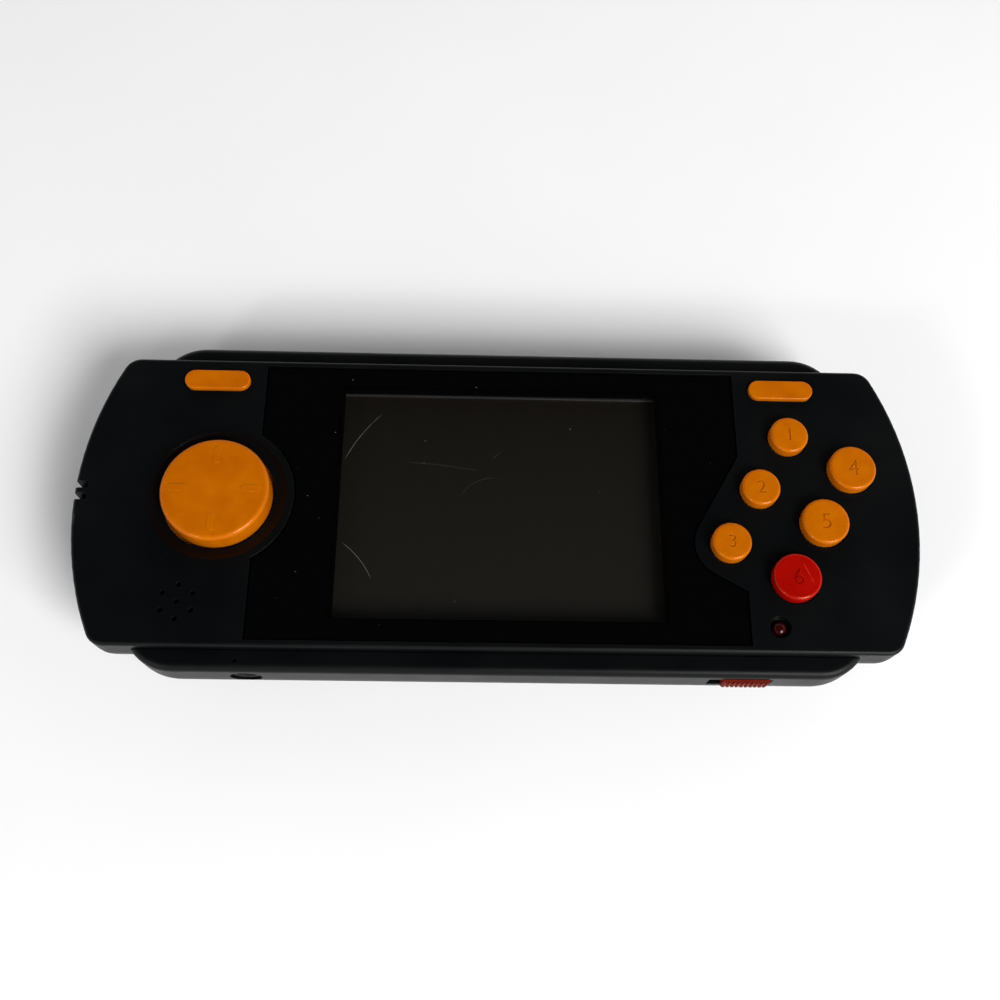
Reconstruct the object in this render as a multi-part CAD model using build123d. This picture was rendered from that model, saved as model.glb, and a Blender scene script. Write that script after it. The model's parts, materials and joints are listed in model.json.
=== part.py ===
"""Handheld game console: two rounded wings, a glossy screen cover between them and a wider back shell.

Lengths are in millimetres. X runs along the console, Y to its far edge and Z up to its face.
The origin is the middle of the face that it rests on."""

from build123d import *
import math
import os

# Layers, from the rest face up to the face of the wings
DOOR = 1.5
BATTERY_PLAY = 0.3          # under the battery, and again over it
BATTERY_HEIGHT = 5.5
BAY_WALL = 1.0
PARTS_ROOM = 2.2            # between the battery bay and the board
BOARD = 1.2
CUSHION = 0.6               # foam strips under the display
LCD_HEIGHT = 2.7
GASKET = 0.5
BED = 1.4                   # floor that the lens is stuck to
TAPE = 0.25
LENS = 1.2
LENS_DROP = 0.35            # lens below the face of the wings

BAY_ROOF_Z = DOOR + BATTERY_PLAY + BATTERY_HEIGHT + BATTERY_PLAY
BOARD_Z = BAY_ROOF_Z + BAY_WALL + PARTS_ROOM
BOARD_TOP = BOARD_Z + BOARD
LCD_Z = BOARD_TOP + CUSHION
LCD_TOP = LCD_Z + LCD_HEIGHT
BED_Z = LCD_TOP + GASKET
BED_TOP = BED_Z + BED
LENS_Z = BED_TOP + TAPE
LENS_TOP = LENS_Z + LENS
FACE_Z = LENS_TOP + LENS_DROP

# Display
LENS_LENGTH = 86.8
LCD_WIDTH = 50.0
LCD_IN = 9.1                # mean distance from the lens's ends to the display's
LCD_SHIFT = 1.1             # display off the middle, away from its ribbon
LCD_SHEET = 0.3             # metal of the display's frame
LCD_BORDER = 0.9            # frame's side walls
GLASS = 1.0
SCREEN_IN = 5.5             # display's ends to the picture, in the mean
SCREEN_SIDE_IN = 3.3
WINDOW_MARGIN = 0.5         # opening in the bed, past the picture
CUSHION_WIDTH = 2.7
CUSHION_IN = 4.8            # middle of a foam strip from the display's side
LCD_LENGTH = LENS_LENGTH - 2 * LCD_IN
SCREEN_LENGTH = LCD_LENGTH - 2 * SCREEN_IN
SCREEN_WIDTH = LCD_WIDTH - 2 * SCREEN_SIDE_IN

# Round buttons: rows lie along ROW_ANGLE from the lowest small button, and follow the display's width
BUTTON_FROM_SEAM = -2.64
BUTTON_Y_SHARE = -0.1536
BUTTON_PITCH_SHARE = 0.24
BUTTON_Y = BUTTON_Y_SHARE * LCD_WIDTH
BUTTON_PITCH = BUTTON_PITCH_SHARE * LCD_WIDTH
COLUMN_PITCH = 12.7
ROW_ANGLE = 60
SMALL_RADIUS = 3.5
LARGE_RADIUS = 4.25
BUTTON_RISE = 1.95
BUTTON_EDGE = 0.6
BUTTON_GAP = 0.25
BUTTON_FLANGE = 0.9
BUTTON_FLANGE_THICK = 0.9
BUTTON_STEM_INSET = 1.0
BUTTON_TRAVEL = 1.2
CAP_PLAY = 0.1              # flange below the plate that stops it
BLOCK_SIDE = 6.2            # block of the front cover round the small buttons
BLOCK_END = 6.1
BUTTON_TO_END = 7.39        # outermost button's edge to the end of the wing
SEAM_X = LENS_LENGTH / 2
BUTTON_X = SEAM_X + BUTTON_FROM_SEAM
ROW_X, ROW_Y = math.cos(math.radians(ROW_ANGLE)), math.sin(math.radians(ROW_ANGLE))
BUTTON_REACH = BUTTON_FROM_SEAM + 2 * BUTTON_PITCH * ROW_X + COLUMN_PITCH * ROW_Y + LARGE_RADIUS
WING_LENGTH = BUTTON_REACH + BUTTON_TO_END  # seam of the lens to the end of a wing

# Plan of the covers
WALL = 1.8
BACK_WALL = 1.6
LCD_PLAY = 0.5              # display to the front cover's walls
END_BOW = 60.3              # radius of the bowed ends
CORNER = 3.3
LEDGE = 3.7                 # back cover stands out past the front cover
LEDGE_DROP = 2.0            # ledge below the face
LEDGE_WALL = 1.6
LEDGE_GAP = 0.1
TRAY_SHORTER = 10.9         # wing's end to the end of the wide part
TRAY_CORNER = 9.0
TRAY_ACROSS = 9.5           # underside's rounding, inwards and upwards
TRAY_UP = 11.6
WING_LIFT = 1.5             # undersides of the wings above the rest face
WING_ACROSS = 11.0
WING_UP = 12.8
WING_SOFTEN = 1.6           # growth of a corner's radius as the underside moves in
BOWL_STEPS = 6              # sections that shape a rounded underside
FACE_ROUND = 0.7
LEDGE_ROUND = 1.3
WING_WALL = 4.4             # height of the wings' side walls down to the parting line
PARTING_GAP = 0.1
RIM = 1.2                   # strip of the front cover beside the lens
LENS_GAP = 0.12
LENS_BEVEL = 0.2
BED_WALL = 1.4
SKIRT_LIP = 0.6             # front cover's skirt below the bed, between the wings
SKIRT_OVERLAP = 2.0         # wing skirt behind the tip of the ledge
OVERRUN = 5.0               # a cutting solid runs this far past what it cuts
FIT = 0.02                  # play of what is pressed or screwed home

LENGTH = LENS_LENGTH + 2 * WING_LENGTH
FACE_WIDTH = LCD_WIDTH + 2 * LCD_PLAY + 2 * WALL
SHELL_WIDTH = FACE_WIDTH + 2 * LEDGE
END_X = LENGTH / 2
EDGE_Y = FACE_WIDTH / 2
SHELL_Y = SHELL_WIDTH / 2
TRAY_X = END_X - TRAY_SHORTER
PARTING_Z = FACE_Z - WING_WALL
LEDGE_Z = FACE_Z - LEDGE_DROP
SHELL_INSIDE_Y = SHELL_Y - BACK_WALL
CREST_X = TRAY_X - TRAY_CORNER + math.sqrt(TRAY_CORNER**2 - (TRAY_CORNER - LEDGE) ** 2)
SKIRT_X = CREST_X - SKIRT_OVERLAP

# Direction disc and its well
DPAD_FROM_SEAM = 6.75
DPAD_Y = 0.2
DPAD_RADIUS = 9.54
DPAD_RISE = 3.0
DPAD_EDGE = 0.8
DPAD_GAP = 0.45
DPAD_FLANGE = 1.3           # flange past the disc
DPAD_FLANGE_THICK = 0.8
DPAD_HOLLOW = 1.6           # thickness of the disc's top
DPAD_ROOM = 1.05            # over the flange, for the rim that rises as the disc rocks
WELL_RADIUS = 12.2
WELL_RIM = 13.5
WELL_DEPTH = 0.9
WELL_FLOOR = 0.3            # flat floor of the well past the opening
RIDGE_LENGTH = 3.2
RIDGE_WIDTH = 1.2
RIDGE_RISE = 0.1
RIDGE_AT = 6.4              # middle of a ridge from the disc's centre
PIVOT_BALL = 1.8
PIVOT_STEM = 1.2
PIVOT_PLAY = 0.06
PIVOT_SOCKET = 1.5          # socket's wall
PIVOT_FOOT_GAP = 0.15
DPAD_X = -SEAM_X - DPAD_FROM_SEAM

# Menu buttons
MENU_FROM_SEAM = 8.9
MENU_FROM_EDGE = 4.5
MENU_LENGTH = 12.0
MENU_WIDTH = 3.8
MENU_RISE = 0.8
MENU_EDGE = 0.3
MENU_FLANGE = 0.45
MENU_X = SEAM_X + MENU_FROM_SEAM
MENU_Y = EDGE_Y - MENU_FROM_EDGE

# Rubber pads
PAD = 0.8
PAD_MARGIN = 1.4            # sheet past the foot of a dome
DOME_SLOPE = 0.7            # dome is this much narrower at its top
DOME_GAP = 0.1
DPAD_DOME = 2.0
DPAD_DOME_AT = 6.6
DPAD_FOOT = 1.7             # disc's feet over the domes
DPAD_PAD_HOLE = 2.6
DOME_INSET = 0.6            # foot of a dome inside its button
MENU_DOME = 1.7
MENU_PAD_INSET = 0.2
STEM_DROP = 0.6             # buttons' stems below their flanges

# Speaker
GRILLE_FROM_SEAM = 11.7
GRILLE_FROM_EDGE = 7.7
GRILLE_RING = 3.02
GRILLE_HOLE = 0.5
SPEAKER_LENGTH = 15.0
SPEAKER_WIDTH = 11.0
SPEAKER_HEIGHT = 2.4
SPEAKER_CORNER = 4.5
SPEAKER_MAGNET = 3.6
SPEAKER_MAGNET_DROP = 1.0
SPEAKER_RING = 1.1
SPEAKER_DISH = 0.5
GRILLE_X = -SEAM_X - GRILLE_FROM_SEAM
GRILLE_Y = -EDGE_Y + GRILLE_FROM_EDGE

# Power light
LED_FROM_SEAM = 5.0
LED_FROM_EDGE = 4.6
LED_RADIUS = 1.5
LED_PLAY = 0.08
LED_FLANGE = 1.9
LED_FLANGE_THICK = 1.0
LED_BODY = 5.1
LED_RECESS = 1.9
LED_RECESS_DEPTH = 0.9
LED_LEAD = 0.25
LED_LEAD_PITCH = 1.27
LED_TOP_DROP = 0.1
LED_X = SEAM_X + LED_FROM_SEAM
LED_Y = -EDGE_Y + LED_FROM_EDGE

# Power knob and its switch
PROUD = 0.6                 # knob and wheel past the shell
KNOB_FROM_SEAM = -0.45
KNOB_LENGTH = 8.1
KNOB_HEIGHT = 3.2
KNOB_ABOVE_BOARD = 1.1
KNOB_TRAVEL = 2.0
KNOB_PLAY = 0.15
KNOB_END_PLAY = 0.5
KNOB_RIBS = 9
KNOB_RIB_DEPTH = 0.3
KNOB_EDGE = 0.5
KNOB_GROOVE_SHARE = 0.4     # groove's width in the pitch of the ribs
PLATE = 0.9
PLATE_LAP = 0.45            # knob's plate past the slot, above and below
SWITCH_LENGTH = 8.6
SWITCH_WIDTH = 3.6
SWITCH_HEIGHT = 3.0
SWITCH_GAP = 0.15
LEVER = 1.4
LEVER_PLAY = 0.1
LEVER_REACH = 1.6           # lever inside the switch
KNOB_X = SEAM_X + KNOB_FROM_SEAM
KNOB_Z = BOARD_TOP + KNOB_ABOVE_BOARD
SLOT_HALF = KNOB_HEIGHT / 2 + KNOB_PLAY
PLATE_Y = -SHELL_INSIDE_Y + KNOB_PLAY

# Volume wheel
WHEEL_FROM_SEAM = -2.9
WHEEL_RADIUS = 4.8
WHEEL_THICK = 2.0
WHEEL_TEETH = 24
WHEEL_TOOTH = 0.3
WHEEL_PLAY = 0.15
POT_RADIUS = 2.4
POT_HEIGHT = 0.9
SPINDLE = 0.75
SPINDLE_PLAY = 0.05
WHEEL_X = SEAM_X + WHEEL_FROM_SEAM
WHEEL_Y = SHELL_Y + PROUD - WHEEL_RADIUS
WHEEL_Z = BOARD_TOP + POT_HEIGHT + WHEEL_PLAY

# Sockets
JACK_BORE = 1.8
JACK_LENGTH = 14.0
JACK_WIDTH = 6.0
JACK_HEIGHT = 5.0
JACK_NOSE = 2.6
JACK_NOSE_LENGTH = 1.2
JACK_HOLE_PLAY = 0.15
JACK_RISE = 1.1             # axis of the jack above the middle of the board
JACK_BACK = 1.2
JACK_GAP = 0.15
PHONES_FROM_SEAM = 0.0
AV_FROM_SEAM = -1.4
USB_FROM_SEAM = -21.4
USB_WIDTH = 7.6
USB_HEIGHT = 2.7
USB_DEPTH = 5.4
USB_SHEET = 0.35
USB_TONGUE = 0.6
SOCKET_DROP = 0.8           # mouth of a socket behind the shell's face
CARD_FROM_SEAM = -19.2
CARD_WIDTH = 28.0
CARD_HEIGHT = 2.8
CARD_DEPTH = 27.6
CARD_SHEET = 0.3
CARD_SLOT_WIDTH = 24.4
CUTOUT_PLAY = 0.25
CUTOUT_PAST = 1.0           # openings cut past the wall, whose inside curves in lower down
PHONES_X = -SEAM_X - PHONES_FROM_SEAM
AV_X = -SEAM_X - AV_FROM_SEAM
USB_X = -SEAM_X - USB_FROM_SEAM
CARD_X = SEAM_X + CARD_FROM_SEAM
JACK_Z = BOARD_Z + BOARD / 2 + JACK_RISE

# Battery, its bay and its door
BAY_FROM_SEAM = 3.0
BAY_TO_CARD = 0.6           # bay's wall to the card socket
BATTERY_WIDTH = 34.0
BATTERY_EDGE = 1.0
BATTERY_SIDE_PLAY = 0.4
CONTACT_ROOM = 1.6
CONTACT_BLOCK = 1.0
CONTACT_BLOCK_WIDTH = 16.0
CONTACT_SHEET = 0.25
CONTACT_WIDTH = 2.5
CONTACT_PITCH = 4.5
CONTACT_FOOT = 1.4          # lower end of a contact above the door
DOOR_MARGIN = 1.6
DOOR_TONGUE = 6.5           # door past the bay, where its screw goes
DOOR_PLAY = 0.15
DOOR_CORNER = 2.0
DOOR_SEAT = 1.4             # floor that the door's rim lies on
DOOR_TAB = 5.0
DOOR_TAB_AT = 12.0
DOOR_TAB_THICK = 1.0
DOOR_TAB_ROOT = 1.2
DOOR_TAB_LAP = 1.4          # tab over the cover's floor, past the door
DOOR_GRIP = 10.0
DOOR_GRIP_DEPTH = 0.6
DOOR_GRIP_WIDTH = 0.8
DOOR_GRIPS = 4
DOOR_GRIP_PITCH = 1.8
DOOR_SCREW_IN = 3.2         # door's screw from the tongue's end
BAY_LOW_X = -SEAM_X - BAY_FROM_SEAM
BAY_HIGH_X = CARD_X - CARD_WIDTH / 2 - BAY_TO_CARD - BAY_WALL
BATTERY_LOW_X = BAY_LOW_X + BATTERY_SIDE_PLAY
BATTERY_HIGH_X = BAY_HIGH_X - CONTACT_ROOM

# Screws and posts
SCREW_RADIUS = 1.0
SCREW_LENGTH = 10.2
SCREW_HEAD = 1.7
SCREW_HEAD_HEIGHT = 1.3
SCREW_SINK = 4.6            # seat of the screws' heads above the rest face
SCREW_PLAY = 0.2
SCREW_TIP_PLAY = 0.15       # pilot hole past a screw's tip
POST_PLAY = 0.15            # middle posts beside the battery bay
POST_RADIUS = 2.6
DOOR_SCREW_LENGTH = 5.0
DOOR_SCREW_SINK = 0.9
WING_POST_IN = 8.9          # posts of the wings from the end
LEFT_POST_Y = 13.0
RIGHT_POST_Y = (-13.0, 17.0)
MIDDLE_POST_FROM_SEAM = 7.2
UPPER_POST_FROM_SEAM = 2.0
UPPER_POST_Y = 13.0
LOWER_POST_FROM_SEAM = 4.8
LOWER_POST_IN = 11.6        # from the near edge

# Board and what is soldered to it
BOARD_GAP = 0.5
BOARD_TAB_PAST = (5.2, 7.6)  # tabs past the left and right seams
BOARD_TAB_GAP = 1.2
MAIN_CHIP = (14.0, 14.0, 1.4)
MAIN_CHIP_Y = 1.0
MEMORY_CHIP = (12.0, 8.0, 1.2)
MEMORY_CHIP_Y = -13.5
AMPLIFIER_CHIP = (5.0, 6.2, 1.5)
AMPLIFIER_CHIP_Y = -7.0
CRYSTAL = (10.5, 4.6, 3.4)
CRYSTAL_Y = 14.0
RIGHT_PARTS_IN = 21.4       # middle of the right wing's parts from its end
LEFT_PARTS_IN = 17.9
CAPACITOR_RADIUS = 2.0
CAPACITOR_HEIGHT = 5.2
CAPACITOR_PITCH = 5.0
CAPACITOR_Y = 6.0
CAPACITORS = 3
RIBBON = 0.2
RIBBON_WIDTH = 18.0
RIBBON_BEND = 0.8
RIBBON_OUT = 1.0            # ribbon's bend past the display's end
RIBBON_PLAY = 0.5           # board's slot past the ribbon's sides
RIBBON_TAIL = 4.0
CONNECTOR_LENGTH = 3.6
CONNECTOR_HEIGHT = 1.0
WIRE_RADIUS = 0.35
WIRE_PITCH = 1.6
WIRE_OUT = 1.4

# Strap eye in the left end
STRAP_Y = 0.65
STRAP_WIDTH = 3.6
STRAP_DEPTH = 2.3
STRAP_BAR = 0.9
STRAP_BAR_DEPTH = 1.0
STRAP_HEIGHT = 3.5
STRAP_ROOF = 1.2
STRAP_WALL = 1.5
PINHOLE = 0.35
PINHOLE_FROM_SEAM = 1.35
PINHOLE_FROM_EDGE = 1.8

ON_FLOOR = (Align.CENTER, Align.CENTER, Align.MIN)


def prism(sketch, low, high):
    """The sketch as a solid between two heights."""
    return extrude(Pos(0, 0, low) * sketch, high - low)


def span(middle, half):
    """Pair of limits round a middle."""
    return middle - half, middle + half


def block(xs, ys, zs):
    """Box between pairs of limits."""
    size = [high - low for low, high in (xs, ys, zs)]
    return Pos(*[(low + high) / 2 for low, high in (xs, ys, zs)]) * Box(*size)


def rod(radius, low, high, at=(0, 0)):
    """Upright cylinder between two heights."""
    return Pos(at[0], at[1], low) * Cylinder(radius, high - low, align=ON_FLOOR)


def top_edges(solid):
    return solid.faces().sort_by(Axis.Z)[-1].edges()


def bottom_edges(solid):
    return solid.faces().sort_by(Axis.Z)[0].edges()


def wing_outline(inset=0, softer=0):
    """Plan of the face: straight long edges, bowed ends and small corners, moved in by inset."""
    half_length, half_width, bow = END_X - inset, EDGE_Y - inset, END_BOW - inset
    corner_x = half_length - bow + math.sqrt(bow**2 - half_width**2)
    edges = [
        Line((-corner_x, half_width), (corner_x, half_width)),
        ThreePointArc((corner_x, half_width), (half_length, 0), (corner_x, -half_width)),
        Line((corner_x, -half_width), (-corner_x, -half_width)),
        ThreePointArc((-corner_x, -half_width), (-half_length, 0), (-corner_x, half_width)),
    ]
    plan = make_face(edges)
    return fillet(plan.vertices(), CORNER - inset + softer)


def button_places():
    """Centres of the round buttons: name, radius, dome and place."""
    along, across = Vector(ROW_X, ROW_Y), Vector(ROW_Y, -ROW_X)
    start = Vector(BUTTON_X, BUTTON_Y)
    rows = {
        "button_small_lower": (0, 0),
        "button_small_middle": (1, 0),
        "button_small_upper": (2, 0),
        "button_red": (0, 1),
        "button_large_middle": (1, 1),
        "button_large_upper": (2, 1),
    }
    places = {}
    for name, (row, column) in rows.items():
        centre = start + along * (row * BUTTON_PITCH) + across * (column * COLUMN_PITCH)
        small = column == 0
        radius = SMALL_RADIUS if small else LARGE_RADIUS
        places[name] = (radius, radius - DOME_INSET, (centre.X, centre.Y))
    return places


def lens_outline(gap=0):
    """Plan of the lens: a rectangle less the round well and the turned block round the small buttons."""
    panel = Rectangle(LENS_LENGTH - 2 * gap, FACE_WIDTH - 2 * RIM - 2 * gap)
    well = Pos(DPAD_X, DPAD_Y) * Circle(WELL_RIM + gap)
    side, end = BLOCK_SIDE + gap, BLOCK_END + gap
    turned = Pos(LENS_LENGTH / 2 - end, side - LENS_LENGTH / 2) * Rectangle(LENS_LENGTH, LENS_LENGTH)
    corner = turned.vertices().sort_by(Axis.X)[:2].sort_by(Axis.Y)[-1]
    turned = fillet([corner], end)
    return panel - well - Pos(BUTTON_X, BUTTON_Y) * Rot(0, 0, ROW_ANGLE) * turned


def posts():
    """Places of the eight screw posts."""
    wing_x = END_X - WING_POST_IN
    middle_x = -SEAM_X + MIDDLE_POST_FROM_SEAM
    middle_y = BATTERY_WIDTH / 2 + BATTERY_SIDE_PLAY + BAY_WALL + POST_RADIUS + POST_PLAY
    left = [(-wing_x, LEFT_POST_Y), (-wing_x, -LEFT_POST_Y), (middle_x, middle_y), (middle_x, -middle_y)]
    lower = (SEAM_X - LOWER_POST_FROM_SEAM, LOWER_POST_IN - SHELL_Y)
    upper = (SEAM_X - UPPER_POST_FROM_SEAM, UPPER_POST_Y)
    return left + [upper, lower] + [(wing_x, y) for y in RIGHT_POST_Y]


def well_cutter():
    """Round dish that the direction disc stands in, and the disc's opening."""
    floor_z, opening = FACE_Z - WELL_DEPTH, DPAD_RADIUS + DPAD_GAP
    inner, outer = (opening + WELL_FLOOR, floor_z), (WELL_RADIUS, FACE_Z)
    above = FACE_Z + OVERRUN
    slope = TangentArc(inner, outer, tangent=(1, 0))
    rest = Polyline(outer, (WELL_RADIUS, above), (0, above), (0, floor_z), inner)
    dish = revolve(Plane.XZ * make_face([slope, rest]), Axis.Z)
    return Pos(DPAD_X, DPAD_Y) * (dish + rod(opening, BED_Z, above))


def strap_eye(cover):
    """Cuts two pockets with a bar between them into the left end, joined behind the bar."""
    low, high = span(STRAP_Y, STRAP_WIDTH / 2)
    inner_x = -END_X + STRAP_DEPTH
    bottom = FACE_Z - STRAP_HEIGHT
    backing = block((-END_X + WALL, inner_x + STRAP_WALL), (low - STRAP_WALL, high + STRAP_WALL),
                    (PARTING_Z + PARTING_GAP, BED_TOP))
    cover += backing
    for ys in ((low, STRAP_Y - STRAP_BAR / 2), (STRAP_Y + STRAP_BAR / 2, high)):
        cover -= block((-END_X - OVERRUN, inner_x), ys, (bottom, FACE_Z + OVERRUN))
    return cover - block((-END_X + STRAP_BAR_DEPTH, inner_x), (low, high), (bottom, FACE_Z - STRAP_ROOF))


def grille_holes():
    places = [(0, 0)]
    for step in range(6):
        angle = math.radians(90 + 60 * step)
        places.append((GRILLE_RING * math.cos(angle), GRILLE_RING * math.sin(angle)))
    return [rod(GRILLE_HOLE, BED_Z, FACE_Z + OVERRUN, (GRILLE_X + x, GRILLE_Y + y)) for x, y in places]


def front_cover():
    """Upper shell: wings, bed for the lens, well, openings and screw posts."""
    cover = prism(wing_outline(), PARTING_Z + PARTING_GAP, FACE_Z)
    cover = fillet(top_edges(cover), FACE_ROUND)
    skirt_z = BED_Z - SKIRT_LIP
    cover -= block(span(0, SKIRT_X), span(0, FACE_WIDTH), (0, skirt_z))
    room = wing_outline(WALL)
    cover -= prism(room, 0, BED_Z)
    cover -= prism(room - lens_outline(-BED_WALL), BED_Z, BED_TOP)
    cover -= prism(lens_outline(), BED_TOP, FACE_Z + OVERRUN)
    window = Rectangle(SCREEN_LENGTH + 2 * WINDOW_MARGIN, SCREEN_WIDTH + 2 * WINDOW_MARGIN)
    cover -= prism(window, 0, FACE_Z)
    cover = strap_eye(cover)
    for at in posts():
        cover += rod(POST_RADIUS, BOARD_TOP, BED_TOP, at)
    for at in posts():
        cover -= rod(SCREW_RADIUS + FIT, 0, SCREW_SINK + SCREW_LENGTH + SCREW_TIP_PLAY, at)
    cover -= well_cutter()
    for radius, dome, at in button_places().values():
        cover -= rod(radius + BUTTON_GAP, BED_Z, FACE_Z + OVERRUN, at)
    menu_hole = SlotOverall(MENU_LENGTH + 2 * BUTTON_GAP, MENU_WIDTH + 2 * BUTTON_GAP)
    for side in (-1, 1):
        cover -= prism(Pos(side * MENU_X, MENU_Y) * menu_hole, BED_Z, FACE_Z + OVERRUN)
    for hole in grille_holes():
        cover -= hole
    cover -= rod(LED_RADIUS + LED_PLAY, 0, FACE_Z, (LED_X, LED_Y))
    return cover - rod(LED_RECESS, FACE_Z - LED_RECESS_DEPTH, FACE_Z + OVERRUN, (LED_X, LED_Y))


def bowl(plan_at, low, across, up, top):
    """Solid with an underside rounded as a quarter oval, across by up, and an upright wall above it."""
    sections = []
    for step in range(BOWL_STEPS + 1):
        angle = math.radians(90 * step / BOWL_STEPS)
        inset, rise = across * (1 - math.sin(angle)), up * (1 - math.cos(angle))
        sections.append(Pos(0, 0, low + rise) * plan_at(inset))
    return loft(sections) + prism(plan_at(0), low + up, top)


def tray(inset, top):
    """Wide part of the back cover, moved in by inset."""
    def plan_at(further):
        move = inset + further
        return RectangleRounded(2 * (TRAY_X - move), 2 * (SHELL_Y - move), TRAY_CORNER - inset)
    return bowl(plan_at, inset, TRAY_ACROSS - inset, TRAY_UP - inset, top)


def pod(inset, top):
    """Lower half of the wings, moved in by inset."""
    def plan_at(further):
        return wing_outline(inset + further, WING_SOFTEN * further)
    return bowl(plan_at, WING_LIFT + inset, WING_ACROSS - inset, WING_UP - inset, top)


def bay_limits(grow=0):
    """Plan limits of the battery bay, grown by a wall."""
    half_y = BATTERY_WIDTH / 2 + BATTERY_SIDE_PLAY
    return (BAY_LOW_X - grow, BAY_HIGH_X + grow), span(0, half_y + grow)


def door_plan(grow=0):
    """Outline of the battery door: the bay, a rim and a tongue for the screw."""
    (low_x, high_x), (low_y, high_y) = bay_limits(DOOR_MARGIN)
    low_x -= DOOR_TONGUE - DOOR_MARGIN
    length, width = high_x - low_x + 2 * grow, high_y - low_y + 2 * grow
    return Pos((low_x + high_x) / 2, 0) * RectangleRounded(length, width, DOOR_CORNER + grow)


def door_screw_place():
    return BAY_LOW_X - DOOR_TONGUE + DOOR_SCREW_IN, 0


def door_tab_places():
    return [span(DOOR_TAB_AT * side, DOOR_TAB / 2) for side in (-1, 1)]


def door_tab_tip():
    return bay_limits(DOOR_MARGIN)[0][1] + DOOR_TAB_LAP


def battery_bay(cover):
    """Adds the bay's walls, the seat of its door and the post of the door's screw."""
    floor = BACK_WALL / 2
    cover += block(*bay_limits(BAY_WALL), (floor, BAY_ROOF_Z + BAY_WALL))
    cover += prism(door_plan(DOOR_SEAT), floor, DOOR + DOOR_SEAT)
    cover += rod(POST_RADIUS, floor, DOOR + DOOR_SCREW_LENGTH + DOOR_SEAT, door_screw_place())
    cover -= block(*bay_limits(), (-OVERRUN, BAY_ROOF_Z))
    cover -= prism(door_plan(DOOR_PLAY), -OVERRUN, DOOR)
    wall_x, tip_x = BAY_HIGH_X, door_tab_tip() + DOOR_PLAY
    for low_y, high_y in door_tab_places():
        cover -= block((wall_x - BAY_WALL, tip_x), (low_y - DOOR_PLAY, high_y + DOOR_PLAY),
                       (DOOR, DOOR + DOOR_TAB_THICK + 2 * DOOR_PLAY))
    tip = DOOR_SCREW_SINK + DOOR_SCREW_LENGTH + SCREW_TIP_PLAY
    cover -= rod(SCREW_RADIUS + FIT, 0, tip, door_screw_place())
    slot_x = contact_x()
    for y in contact_places():
        cover -= block(span(slot_x, CONTACT_SHEET), span(y, CONTACT_WIDTH / 2 + FIT), (BAY_ROOF_Z, BOARD_Z))
    return cover


def slot_limits():
    """Slot of the power knob along X: the knob, its travel and play at both ends."""
    return KNOB_X - KNOB_LENGTH / 2 - KNOB_TRAVEL - KNOB_END_PLAY, KNOB_X + KNOB_LENGTH / 2 + KNOB_END_PLAY


def edge_openings():
    """Cutting solids for the knob, the wheel and the sockets in the back cover's edges."""
    inner = SHELL_INSIDE_Y - CUTOUT_PAST
    near, far = (-SHELL_Y - OVERRUN, -inner), (inner, SHELL_Y + OVERRUN)
    cuts = [block(slot_limits(), near, span(KNOB_Z, SLOT_HALF))]
    reach = SHELL_INSIDE_Y - WHEEL_Y
    half = math.sqrt(WHEEL_RADIUS**2 - reach**2) + CUTOUT_PLAY
    cuts.append(block(span(WHEEL_X, half), far, (WHEEL_Z - CUTOUT_PLAY, WHEEL_Z + WHEEL_THICK + CUTOUT_PLAY)))
    for x, depth in ((PHONES_X, near), (AV_X, far)):
        hole = Plane.XZ * (Pos(x, JACK_Z) * Circle(JACK_NOSE + JACK_HOLE_PLAY))
        cuts.append(extrude(Pos(0, depth[0], 0) * hole, -(depth[1] - depth[0])))
    for x, width, height in ((USB_X, USB_WIDTH, USB_HEIGHT), (CARD_X, CARD_WIDTH, CARD_HEIGHT)):
        cuts.append(block(span(x, width / 2 + CUTOUT_PLAY), far,
                          (BOARD_Z - height - CUTOUT_PLAY, BOARD_Z + CUTOUT_PLAY)))
    return cuts


def back_cover():
    """Lower shell: wide tray with its ledge, the undersides of the wings, posts, bay and edge openings."""
    cover = tray(0, LEDGE_Z)
    cover = fillet(top_edges(cover), LEDGE_ROUND)
    cover -= prism(wing_outline(-LEDGE_GAP), PARTING_Z, LEDGE_Z + OVERRUN)
    cover += pod(0, PARTING_Z)
    cover -= tray(BACK_WALL, LEDGE_Z - LEDGE_WALL)
    cover -= pod(BACK_WALL, PARTING_Z + OVERRUN)
    for at in posts():
        hull = pod(0, PARTING_Z) if abs(at[0]) > TRAY_X else tray(0, LEDGE_Z)
        cover += rod(POST_RADIUS, BACK_WALL / 2, BOARD_Z, at) & hull
    cover = battery_bay(cover)
    for at in posts():
        cover -= rod(SCREW_RADIUS + SCREW_PLAY, 0, BOARD_Z + OVERRUN, at)
        cover -= rod(SCREW_HEAD + SCREW_PLAY, -OVERRUN, SCREW_SINK, at)
    for cut in edge_openings():
        cover -= cut
    pinhole = (-SEAM_X - PINHOLE_FROM_SEAM, -SHELL_Y + PINHOLE_FROM_EDGE)
    return cover - rod(PINHOLE, LEDGE_Z - LEDGE_WALL, LEDGE_Z + OVERRUN, pinhole)


def screen_lens():
    lens = prism(lens_outline(LENS_GAP), LENS_Z, LENS_TOP)
    return chamfer(top_edges(lens), LENS_BEVEL)


def screen_opening(grow=0):
    return Rectangle(SCREEN_LENGTH + 2 * grow, SCREEN_WIDTH + 2 * grow)


def lens_tape():
    return prism(lens_outline(WINDOW_MARGIN) - screen_opening(), BED_TOP, LENS_Z)


def screen_gasket():
    ring = screen_opening(2 * WINDOW_MARGIN + LCD_SHEET) - screen_opening(WINDOW_MARGIN)
    return prism(ring, LCD_TOP, BED_Z)


def lcd_plan(inset=0):
    return Pos(LCD_SHIFT, 0) * Rectangle(LCD_LENGTH - 2 * inset, LCD_WIDTH - 2 * inset)


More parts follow.
